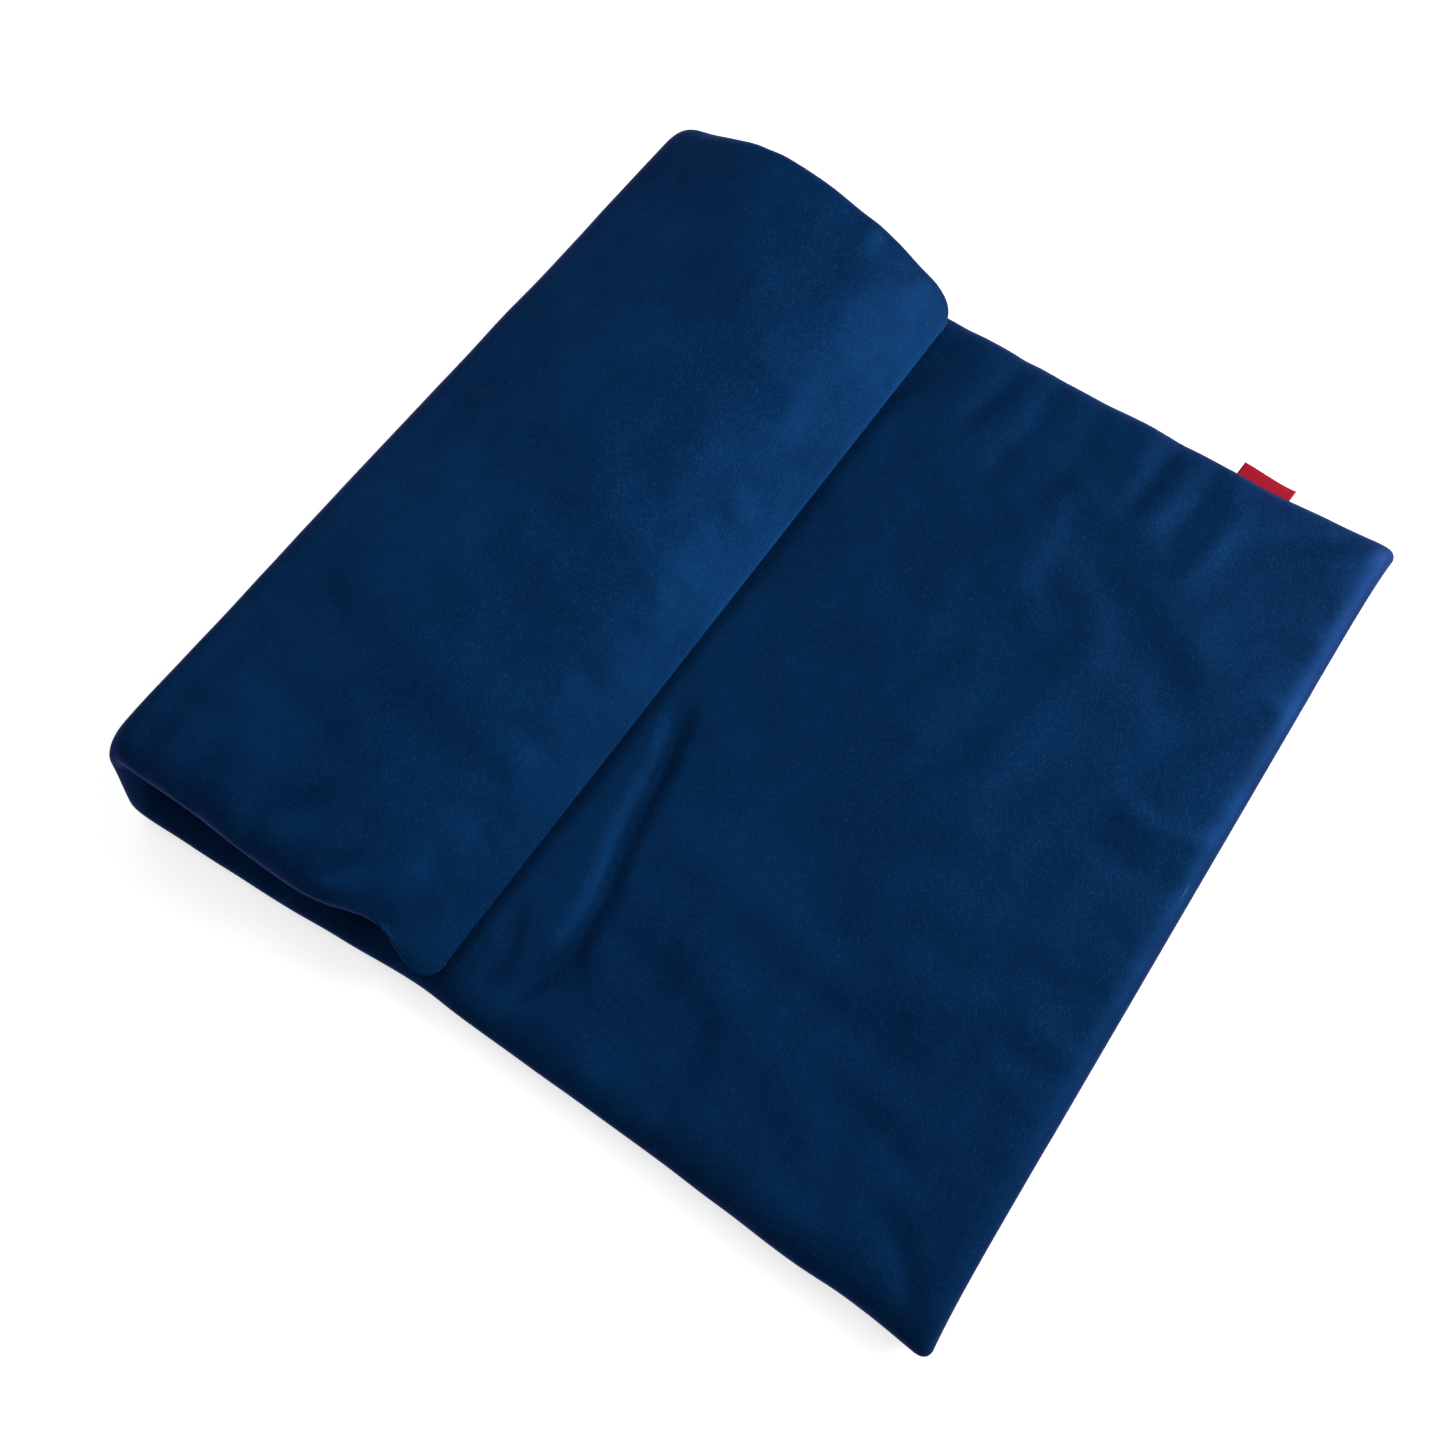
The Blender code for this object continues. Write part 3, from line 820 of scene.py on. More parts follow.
    def place(self, sheet: Sheet, level: float = 1.0, gap: float = 0.0) -> np.ndarray:
        """Place every grid point of a sheet, or of a layer inside it.

        Args:
            sheet: which face.
            level: the layer's place, from 0 on the middle surface to 1 on the face.
            gap: the least distance from the middle surface.

        Returns:
            The points, one for each row and column.
        """
        line = self.rows["outer" if sheet is Sheet.OUTER else "inner"]
        middle = (self.rows["outer"] + self.rows["inner"]) / 2
        reach = line - middle
        half = np.linalg.norm(reach, axis=1)
        away = np.maximum(level * self.fullness(sheet) * half[:, None], gap)
        flat = middle[:, None, :] + away[:, :, None] * (reach / half[:, None])[:, None, :]
        facing, waves = self.rows["outer_normal"], self.waves()
        return np.stack([flat[:, :, 0] + self.ears() + waves * facing[:, None, 0], self.across(),
                         flat[:, :, 1] + self.lift() + waves * facing[:, None, 1]], axis=2)

    def normals(self, sheet: Sheet) -> np.ndarray:
        """Return the direction, in the X-Z plane, in which each row's cloth faces."""
        flat = self.rows["outer_normal" if sheet is Sheet.OUTER else "inner_normal"]
        return np.stack([flat[:, 0], 0.0 * flat[:, 0], flat[:, 1]], axis=1)


@dataclass
class Creases:
    """Every fold and pucker of the cover's cloth, as heights along its normals."""

    bare_folds: tuple[Fold, ...] = (
        Fold(((-0.044, -0.054), (-0.026, -0.119), (-0.018, -0.164), (-0.004, -0.219), (0.002, -0.269),
              (-0.012, -0.312), (-0.016, -0.334)), 0.0095, -0.0075, 0.050),
        Fold(((-0.043, -0.256), (-0.030, -0.294), (-0.030, -0.339)), 0.0070, -0.0052),
        Fold(((-0.030, -0.229), (-0.034, -0.269), (-0.018, -0.314)), 0.0090, 0.0022),
        Fold(((0.030, -0.339), (0.033, -0.284), (0.022, -0.239)), 0.0110, 0.0020),
        Fold(((0.076, -0.224), (0.062, -0.329)), 0.0105, -0.0034),
        Fold(((0.112, -0.239), (0.115, -0.289), (0.105, -0.334)), 0.0090, -0.0032),
        Fold(((0.178, -0.184), (0.174, -0.209)), 0.0120, -0.0012),
        Fold(((0.228, -0.229), (0.222, -0.324)), 0.0120, -0.0020),
        Fold(((-0.045, 0.366), (-0.047, 0.296), (-0.058, 0.241)), 0.0090, -0.0022),
        Fold(((0.008, 0.366), (0.012, 0.306), (0.000, 0.246)), 0.0080, -0.0024),
        Fold(((-0.018, 0.351), (-0.014, 0.296), (-0.026, 0.241)), 0.0100, 0.0014),
        Fold(((0.045, 0.356), (0.050, 0.286), (0.036, 0.206)), 0.0100, -0.0014),
        Fold(((0.085, 0.356), (0.092, 0.276), (0.080, 0.206)), 0.0100, -0.0012),
        Fold(((0.155, 0.366), (0.152, 0.316), (0.146, 0.246)), 0.0080, -0.0017),
        Fold(((0.190, 0.361), (0.192, 0.306), (0.184, 0.241)), 0.0085, -0.0015),
        Fold(((0.170, 0.336), (0.166, 0.276), (0.156, 0.221)), 0.0085, 0.0011),
        Fold(((0.222, 0.326), (0.217, 0.266), (0.206, 0.211)), 0.0085, 0.0010),
        Fold(((0.335, 0.056), (0.285, 0.038), (0.245, 0.046)), 0.0100, 0.0018),
        Fold(((0.335, 0.020), (0.285, 0.004), (0.240, 0.008)), 0.0110, -0.0010),
        Fold(((0.330, 0.166), (0.288, 0.156)), 0.0100, -0.0010),
        Fold(((0.330, -0.144), (0.292, -0.154)), 0.0110, -0.0011),
        Fold(((0.322, 0.351), (0.280, 0.318), (0.245, 0.306)), 0.0085, -0.0016),
        Fold(((0.322, -0.329), (0.286, -0.294), (0.262, -0.286)), 0.0085, -0.0014),
    )
    flap_folds: tuple[Fold, ...] = (
        Fold(((-0.205, -0.366), (-0.200, -0.319), (-0.178, -0.279)), 0.0105, -0.0046),
        Fold(((-0.160, -0.360), (-0.152, -0.324), (-0.128, -0.294)), 0.0090, -0.0050),
        Fold(((-0.245, -0.366), (-0.250, -0.324)), 0.0105, -0.0030),
        Fold(((-0.120, -0.356), (-0.108, -0.329), (-0.084, -0.312)), 0.0085, -0.0036),
        Fold(((-0.290, -0.364), (-0.300, -0.314), (-0.310, -0.264)), 0.0110, -0.0016),
        Fold(((-0.318, -0.324), (-0.322, -0.244), (-0.320, -0.164)), 0.0120, 0.0010),
        Fold(((-0.098, -0.352), (-0.097, -0.322), (-0.094, -0.288)), 0.0130, -0.0065),
        Fold(((-0.130, 0.351), (-0.125, 0.306)), 0.0095, -0.0022),
        Fold(((-0.105, 0.356), (-0.098, 0.311)), 0.0080, -0.0014),
        Fold(((-0.215, 0.351), (-0.208, 0.291), (-0.190, 0.256)), 0.0130, -0.0014),
        Fold(((-0.085, 0.236), (-0.090, 0.146), (-0.082, 0.066)), 0.0140, -0.0007),
        Fold(((-0.235, 0.066), (-0.240, -0.074)), 0.0180, -0.0008),
    )
    seed: int = 11

    def along_edge(self, side: np.ndarray, spot: np.ndarray, seed: int, strength: float) -> np.ndarray:
        """Return the small puckers that run in from a seam.

        Args:
            side: distance from the seam.
            spot: distance along the seam.
            seed: the fixed seed of this seam's puckers.
            strength: the height of a strong pucker.

        Returns:
            The height of each place.
        """
        noise = Unevenness(self.seed + seed)
        tight = noise.at(spot / 0.013, side / 0.080 + 3.0) * np.exp(-side / 0.018)
        wide = noise.at(spot / 0.027 + 40.0, side / 0.140 + 9.0) * np.exp(-side / 0.055)
        gain = 0.35 + 0.65 * smooth(side, 0.0, 0.010)
        where = 0.55 + 0.45 * noise.at(spot / 0.110, 0.0 * spot + 20.0)
        return strength * gain * (0.55 * tight + wide) * where

    def heights(self, form: PadForm, sheet: Sheet, x: np.ndarray, y: np.ndarray) -> np.ndarray:
        """Return a sheet's heights.

        Args:
            form: the mat's form.
            sheet: which sheet.
            x: each grid point's X.
            y: each grid point's Y.

        Returns:
            The heights, in metres, along the normals.
        """
        travel, column, side = form.grid()
        length = form.rows["length"][:, None] + 0 * side.astype(int)
        half = form.path.width / 2
        spot = travel + np.where(column > half, 3.0, 7.0)
        total = form.rows["travel"][-1]
        edge = self.along_edge(side, spot, 1 + sheet.value, 0.0030)
        ends = self.along_edge(travel, column, 3 + sheet.value, 0.0010)
        nose = self.along_edge(total - travel, column, 5 + sheet.value, 0.0009)
        slow = Unevenness(self.seed + 20 + sheet.value)
        broad = 0.0009 * slow.at(travel / 0.085, column / 0.110)
        broad = broad + 0.0004 * slow.at(travel / 0.034, column / 0.046 + 50.0)
        height = edge + ends + nose + broad
        if sheet is Sheet.INNER:
            bare = np.where(length == 0, 1.0, 0.0) * smooth(x, -0.090, -0.060)
            for fold in self.bare_folds:
                height = height + bare * fold.at(x, y)
            height = height * np.where(length == 0, smooth(x, -0.115, -0.050), 0.35)
            height = height * np.where(length == 3, 0.0, 1.0)
        else:
            flap = np.where(length >= 2, 1.0, 0.0)
            for fold in self.flap_folds:
                height = height + flap * fold.at(x, y)
            height = height * np.where(length == 0, 0.15 * smooth(side, 0.030, 0.0), 1.0)
            folds = np.where(length == 3, smooth(total - travel, 0.004, 0.050), 1.0)
            height = height * (0.45 + 0.55 * folds)
        return height * smooth(side, -0.004, 0.006)


@dataclass(frozen=True)
class Part:
    """One length of the cover: its name, its bodies and, where it bends, from where to where."""

    name: str
    bodies: tuple[str, ...]
    nodes: tuple[str, ...]
    start: Optional[tuple[float, float]] = None        # x, z
    end: Optional[tuple[float, float]] = None


def grid_faces(first: int, lines: int, across: int, turned: bool) -> np.ndarray:
    """Return the quads of a grid of vertices.

    Args:
        first: the first vertex's number.
        lines: how many lines of vertices.
        across: how many vertices in a line.
        turned: whether the faces look the other way.

    Returns:
        An array of four vertex numbers for each face, line by line.
    """
    number = first + np.arange(lines * across).reshape(lines, across)
    a, b, c, d = number[:-1, :-1], number[1:, :-1], number[1:, 1:], number[:-1, 1:]
    order = (a, d, c, b) if turned else (a, b, c, d)
    return np.stack(order, axis=-1).reshape(-1, 4)


def make_object(name: str, points: np.ndarray, faces: Sequence) -> bpy.types.Object:
    """Make a mesh object and link it.

    Args:
        name: its name.
        points: its vertices.
        faces: its faces, as vertex numbers.

    Returns:
        The object.
    """
    mesh = bpy.data.meshes.new(name)
    mesh.from_pydata(points.tolist(), [], faces.tolist() if isinstance(faces, np.ndarray) else faces)
    made = bpy.data.objects.new(name, mesh)
    bpy.context.scene.collection.objects.link(made)
    return made


def finished(made: bpy.types.Object, smooth_faces: bool = True) -> bpy.types.Object:
    """Turn an object with modifiers into a plain mesh object of the same name.

    Args:
        made: the object.
        smooth_faces: whether its faces are shaded smooth.

    Returns:
        The same object.
    """
    graph = bpy.context.evaluated_depsgraph_get()
    mesh = bpy.data.meshes.new_from_object(made.evaluated_get(graph), preserve_all_data_layers=True,
                                           depsgraph=graph)
    made.modifiers.clear()
    made.data = mesh
    if smooth_faces:
        mesh.polygons.foreach_set("use_smooth", np.ones(len(mesh.polygons), bool))
    return made


def vertex_points(mesh: bpy.types.Mesh) -> np.ndarray:
    """Read a mesh's vertices.

    Args:
        mesh: the mesh.

    Returns:
        Its points, one in each row.
    """
    points = np.empty(3 * len(mesh.vertices), np.float32)
    mesh.vertices.foreach_get("co", points)
    return points.reshape(-1, 3).astype(float)


def move_vertices(mesh: bpy.types.Mesh, points: np.ndarray) -> None:
    """Move a mesh's vertices.

    Args:
        mesh: the mesh.
        points: its new points, one in each row.
    """
    mesh.vertices.foreach_set("co", points.reshape(-1).astype(np.float32))
    mesh.update()


@dataclass
class Cover:
    """The removable cover: two sheets, their knife-edge seam, and the slot for its zip."""

    path: FoldPath
    creases: Creases = field(default_factory=Creases)
    seam_gap: float = 0.00035
    zip_gap: float = 0.0023
    plain_ring: tuple = ((0.00025, 0.00030), (0.00060, 0.00018), (0.00090, 0.00006))
    zip_ring: tuple = ((0.0010, 0.0050), (0.0066, 0.0053), (0.0078, 0.0044))
    fill: float = 0.55
    pressure: float = 0.30          # how hard the filling presses the cloth out
    backing: float = 0.12           # how firmly the filling holds the loosest cloth
    spare: float = 0.006            # share by which the cloth is larger than its seams allow
    stiffness: float = 7.0
    frames: int = 14
    grades: int = 20                # of firmness between loose and held
    ease: float = 0.45              # share of the settling that is kept
    most: float = 0.0022            # how far a point may move while it settles
    sink: float = 0.0009            # how far the filling lets the cloth sink
    parts: tuple[Part, ...] = (
        Part("cover_lying", ("lying_half",), ("cover_outer_lying_half", "cover_inner_lying_half")),
        Part("cover_fold", ("lying_half", "riser"), ("cover_outer_riser",),
             (-0.2995, 0.015), (-0.3145, 0.034)),
        Part("cover_ridge", ("riser", "flap_back"), ("cover_inner_riser", "cover_outer_flap_back"),
             (-0.3195, 0.059), (-0.302, 0.085)),
        Part("cover_flap", ("flap_back", "flap_front"),
             ("cover_inner_flap_back", "cover_outer_flap_front", "cover_inner_flap_front"),
             (-0.262, 0.085), (-0.190, 0.085)),
    )

    def zip_share(self, y: np.ndarray) -> np.ndarray:
        """Find the zip along the flat end.

        Args:
            y: places along it.

        Returns:
            1 beside the zip, 0 away from it, and between them at its ends.
        """
        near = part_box("zip_stop_near")[0].y - 0.004
        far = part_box("zip_stop_far")[1].y + 0.016
        return smooth(y, near - 0.010, near) * smooth(-y, -far - 0.010, -far)

    def points(self, form: PadForm) -> tuple[np.ndarray, np.ndarray]:
        """Place both sheets' grid points, with their folds.

        Args:
            form: the mat's form.

        Returns:
            The outer sheet's points and the inner sheet's.
        """
        travel, _, _ = form.grid()
        gap = self.seam_gap + (self.zip_gap - self.seam_gap) * self.zip_share(form.across())
        gap = np.where(travel < 0.002, gap, self.seam_gap)
        sheets = []
        for sheet in Sheet:
            base = form.place(sheet, 1.0, gap)
            height = self.creases.heights(form, sheet, base[:, :, 0], base[:, :, 1])
            height = height * np.where(travel < 1e-6, 0.0, 1.0)
            height = height * smooth(form.rows["travel"][-1] - travel, 0.0, 0.004)
            sheets.append(base + height[:, :, None] * form.normals(sheet)[:, None, :])
        return sheets[0], sheets[1]

    def rim(self, lines: int, across: int) -> list[tuple[int, int]]:
        """Walk round the seam.

        Args:
            lines: the number of rows.
            across: the number of columns.

        Returns:
            The row and column of each grid point on it, in order.
        """
        rim = [(0, j) for j in range(across)] + [(i, across - 1) for i in range(1, lines)]
        rim += [(lines - 1, j) for j in range(across - 2, -1, -1)]
        return rim + [(i, 0) for i in range(lines - 2, 0, -1)]

    def borders(self, form: PadForm) -> list[int]:
        """Choose where the cover is parted into its lengths.

        Args:
            form: the mat's form.

        Returns:
            The first row of each length but the first.
        """
        length, outer, inner = (form.rows[name] for name in ("length", "outer", "inner"))
        first = int(np.flatnonzero((length == 0) & (inner[:, 0] < self.path.fold_x + 0.062))[0])
        second = int(np.flatnonzero((length == 1) & (outer[:, 1] > 0.5 * self.path.riser_top))[0])
        third = int(np.flatnonzero((length == 2) & (inner[:, 0] > self.path.fold_x + 0.066))[0])
        return [first, second, third]

    def shell(self, form: PadForm) -> bpy.types.Object:
        """Build the whole cover as one closed mesh.

        Args:
            form: the mat's form.

        Returns:
            Its object, whose faces know their length in the attribute "length_of".
        """
        outer, inner = self.points(form)
        lines, across = outer.shape[:2]
        rim = self.rim(lines, across)
        rows, columns = (np.array(values) for values in zip(*rim))
        middle = (outer[rows, columns] + inner[rows, columns]) / 2
        down = form.normals(Sheet.OUTER)[rows]
        along = np.roll(middle, -1, axis=0) - np.roll(middle, 1, axis=0)
        out = np.cross(down, along)
        out /= np.linalg.norm(out, axis=1)[:, None]
        zipped = (self.zip_share(middle[:, 1]) * (rows == 0))[:, None]
        ring = []
        for sign, order in ((1.0, range(3)), (-1.0, range(2, -1, -1))):
            for k in order:
                inward = self.plain_ring[k][0] + (self.zip_ring[k][0] - self.plain_ring[k][0]) * zipped
                height = self.plain_ring[k][1] + (self.zip_ring[k][1] - self.plain_ring[k][1]) * zipped
                ring.append(middle - out * inward + sign * down * height)
        points = np.concatenate([outer.reshape(-1, 3), inner.reshape(-1, 3), *ring])
        count = lines * across
        levels = [rows * across + columns]
        levels += [2 * count + k * len(rim) + np.arange(len(rim)) for k in range(6)]
        levels.append(count + rows * across + columns)
        faces = [grid_faces(0, lines, across, False), grid_faces(count, lines, across, True)]
        face_row = [np.repeat(np.arange(lines - 1), across - 1)] * 2
        face_side = [np.full((lines - 1) * (across - 1), k) for k in (0, 1)]
        rim_row = np.minimum(np.minimum(rows, np.roll(rows, -1)), lines - 2)
        for k, (lower, upper) in enumerate(zip(levels, levels[1:])):
            faces.append(np.stack([lower, np.roll(lower, -1), np.roll(upper, -1), upper], axis=1))
            face_row.append(rim_row)
            face_side.append(np.full(len(rim), 0 if k < 4 else 1))
        faces, face_row, face_side = (np.concatenate(v) for v in (faces, face_row, face_side))
        made = make_object("cover_whole", points, faces)
        part = np.searchsorted(self.borders(form), face_row, side="right")
        made.data.attributes.new("length_of", "INT", "FACE").data.foreach_set("value", part.astype(np.int32))
        travel, column, _ = form.grid()
        place = np.stack([travel, column], axis=2).reshape(-1, 2)
        place = np.concatenate([place, place, *[place[rows * across + columns]] * 6])
        corners = place[faces.reshape(-1)]
        corners[:, 0] *= np.repeat(1.0 - 2.0 * face_side, 4)
        made.data.uv_layers.new(name="cloth").data.foreach_set("uv", corners.reshape(-1).astype(np.float32))
        return made

    def held(self, form: PadForm) -> np.ndarray:
        """Find how firmly the cloth is held while it settles.

        Args:
            form: the mat's form.

        Returns:
            A share from 0 to 1 for each grid point of the outer sheet, then of the inner one.
        """
        travel, _, side = form.grid()
        length = form.rows["length"][:, None] + 0 * side.astype(int)
        left = form.rows["travel"][-1] - travel
        edge = smooth(np.minimum(np.minimum(side, travel), left), 0.001, 0.030)
        x, line = form.place(Sheet.INNER)[:, :, 0], self.path.nose_x
        bare = np.where(length == 0, smooth(x, line - 0.020, line + 0.025), 0.0)
        ridge = form.rows["travel"][form.rows["length"] == 1][-1]
        flap = smooth(travel, ridge + 0.005, ridge + 0.040) * smooth(left, 0.004, 0.040)
        free = np.concatenate([(edge * flap).reshape(-1), (edge * bare).reshape(-1)])
        return 1.0 - (1.0 - self.backing) * free

    def settle(self, whole: bpy.types.Object, form: PadForm) -> None:
        """Let the filling press the cloth out and the cloth pull on its seams, as Cloth physics.

        Args:
            whole: the whole cover.
            form: the mat's form.
        """
        start = vertex_points(whole.data)
        stay = np.ones(len(start))
        grids = self.held(form)
        stay[:len(grids)] = grids
        group = whole.vertex_groups.new(name="held")
        steps = np.round(stay * self.grades).astype(int)
        for grade in range(self.grades + 1):
            group.add(np.flatnonzero(steps == grade).tolist(), grade / self.grades, "REPLACE")
        modifier = whole.modifiers.new("Settle", "CLOTH")
        cloth = modifier.settings
        cloth.quality = 5
        cloth.mass = 0.15
        cloth.tension_stiffness = cloth.compression_stiffness = 15.0
        cloth.shear_stiffness = 5.0
        cloth.bending_stiffness = self.stiffness
        cloth.use_pressure = True
        cloth.uniform_pressure_force = self.pressure
        cloth.shrink_min = -self.spare
        cloth.vertex_group_mass = "held"
        cloth.effector_weights.gravity = 0.0
        modifier.collision_settings.use_collision = False
        scene = bpy.context.scene
        modifier.point_cache.frame_start = scene.frame_start = 1
        modifier.point_cache.frame_end = scene.frame_end = self.frames
        for frame_number in range(1, self.frames + 1):
            scene.frame_set(frame_number)
        evaluated = whole.evaluated_get(bpy.context.evaluated_depsgraph_get())
        move = vertex_points(evaluated.data) - start
        size = np.linalg.norm(move, axis=1)
        share = np.minimum(self.ease, self.most / np.maximum(size, 1e-9))
        mean = size[stay < 0.5].mean()
        log.info("settled: moved %.2f mm at most, %.2f mm on average", size.max() / MM, mean / MM)
        whole.modifiers.clear()
        whole.vertex_groups.clear()
        scene.frame_set(1)
        points = start + move * share[:, None]
        points[:, 2] = np.maximum(points[:, 2], start[:, 2] - self.sink)
        move_vertices(whole.data, points)

    def build(self, cloth: bpy.types.Material) -> list[bpy.types.Object]:
        """Build the cover's pieces.

        Args:
            cloth: their material.

        Returns:
            The pieces; the lying one rides with its body and the others stay where they were built.
        """
        form = PadForm(self.path, CLOTH_STEP)
        whole = self.shell(form)
        log.info("cover: %d faces, borders at rows %s", len(whole.data.polygons), self.borders(form))
        self.settle(whole, form)
        whole.modifiers.new("Finer", "SUBSURF").levels = 1
        whole.modifiers["Finer"].render_levels = 1
        finished(whole)
        points = vertex_points(whole.data)
        points[:, 2] = np.maximum(points[:, 2], 0.0)
        move_vertices(whole.data, points)
        made = [self.split(whole, number, part, cloth) for number, part in enumerate(self.parts)]
        bpy.data.objects.remove(whole)
        return made

    def split(self, whole: bpy.types.Object, number: int, part: Part,
              cloth: bpy.types.Material) -> bpy.types.Object:
        """Cut one length out of the whole cover and close its cut ends.

        Args:
            whole: the whole cover.
            number: the length's number in "length_of".
            part: the length.
            cloth: its material.

        Returns:
            The finished piece.
        """
        mesh = whole.data
        keep = np.empty(len(mesh.polygons), np.int32)
        mesh.attributes["length_of"].data.foreach_get("value", keep)
        normals = np.empty(3 * len(mesh.vertices), np.float32)
        mesh.vertex_normals.foreach_get("vector", normals)
        normals = normals.reshape(-1, 3)
        loops = np.empty(len(mesh.loops), np.int64)
        mesh.loops.foreach_get("vertex_index", loops)
        quads = loops.reshape(-1, 4)[keep == number]
        uv = np.empty(2 * len(mesh.loops), np.float32)
        mesh.uv_layers["cloth"].data.foreach_get("uv", uv)
        uv = uv.reshape(-1, 4, 2)[keep == number].reshape(-1, 2)
        used, renumbered = np.unique(quads, return_inverse=True)
        renumbered = renumbered.reshape(-1, 4)
        points = vertex_points(mesh)[used]
        caps = [face for loop in open_loops(renumbered) for face in self.cap(points, loop)]
        faces = renumbered.tolist() + caps
        piece = make_object(part.name, points, faces)
        corners = np.concatenate([np.asarray(face) for face in faces])
        uv = np.concatenate([uv, np.zeros((len(corners) - len(uv), 2), np.float32)])
        piece.data.uv_layers.new(name="cloth").data.foreach_set("uv", uv.reshape(-1))
        piece.data.polygons.foreach_set("use_smooth", np.arange(len(faces)) < len(renumbered))
        mark_rims(piece.data, len(renumbered))
        wanted = normals[used][corners]
        for face in piece.data.polygons[len(renumbered):]:
            wanted[face.loop_start:face.loop_start + face.loop_total] = face.normal
        piece.data.normals_split_custom_set(wanted.tolist())
        piece.data.materials.append(cloth)
        self.hang(piece, part)
        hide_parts(*part.nodes)
        log.info("%s: %d faces", part.name, len(faces))
        return piece

    def hang(self, piece: bpy.types.Object, part: Part) -> None:
        """Make a piece ride with its body if its length does not bend; otherwise bake its transform in and
        leave it in place.

        Args:
            piece: the piece.
            part: the length.
        """
        if part.start is None or part.end is None:
            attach(piece, part.bodies[0])
        else:
            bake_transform(piece)

    def cap(self, points: np.ndarray, loop: np.ndarray) -> list[list[int]]:
        """Close a cut end.

        Args:
            points: the piece's points.
            loop: the vertices round the cut, in order.

        Returns:
            Faces across the cut, from one sheet to the other.
        """
        count = len(loop)
        best = min(range(count), key=lambda k: float(
            np.linalg.norm(points[loop] - points[np.roll(loop[::-1], k)], axis=1).sum()))
        partner = np.roll(loop[::-1], best)
        same = np.flatnonzero(partner == loop)
        start = int(same[0]) if len(same) else int(np.flatnonzero(partner == np.roll(loop, 1))[0])
        one, two = np.roll(loop, -start), np.roll(partner, -start)
        quads = []
        for k in range(count // 2):
            quad = list(dict.fromkeys(int(v) for v in (one[k], two[k], two[k + 1], one[k + 1])))
            if len(quad) > 2:
                quads.append(quad)
        return quads


def mark_rims(mesh: bpy.types.Mesh, skin: int) -> None:
    """Make the edges sharp between a piece's skin and the caps on its cut ends.

    Args:
        mesh: the piece's mesh.
        skin: how many of its faces, from the first, are skin.
    """
    work = bmesh.new()
    work.from_mesh(mesh)
    work.faces.ensure_lookup_table()
    for cap in work.faces[skin:]:
        for edge in cap.edges:
            if any(face.index < skin for face in edge.link_faces):
                edge.smooth = False
    work.to_mesh(mesh)
    work.free()


def open_loops(faces: np.ndarray) -> list[np.ndarray]:
    """Find the open ends of a mesh of quads.

    Args:
        faces: four vertex numbers for each face.

    Returns:
        The vertices round each open end, in order.
    """
    edges = np.stack([faces, np.roll(faces, -1, axis=1)], axis=2).reshape(-1, 2)
    both = {(a, b) for a, b in edges.tolist()}
    after = {a: b for a, b in both if (b, a) not in both}
    loops = []
    while after:
        start, here = next(iter(after.items()))
        loop = [start]
        del after[start]
        while here != start:
            loop.append(here)
            here = after.pop(here)
        loops.append(np.array(loop))
    return loops


# ---------------------------------------------------------------------------------------------
# The casing and filling inside the cover
# ---------------------------------------------------------------------------------------------


class Layer(Enum):
    """A layer inside the cover: its levels, from 1 on the outer face to -1, and its inset in mm."""

    TICKING = ("ticking", 0.830, -0.830, 8.0)
    BATTING_OUTER = ("batting_outer", 0.780, 0.330, 9.5)
    CORE = ("core", 0.310, -0.310, 11.0)
    BATTING_INNER = ("batting_inner", -0.330, -0.780, 9.5)


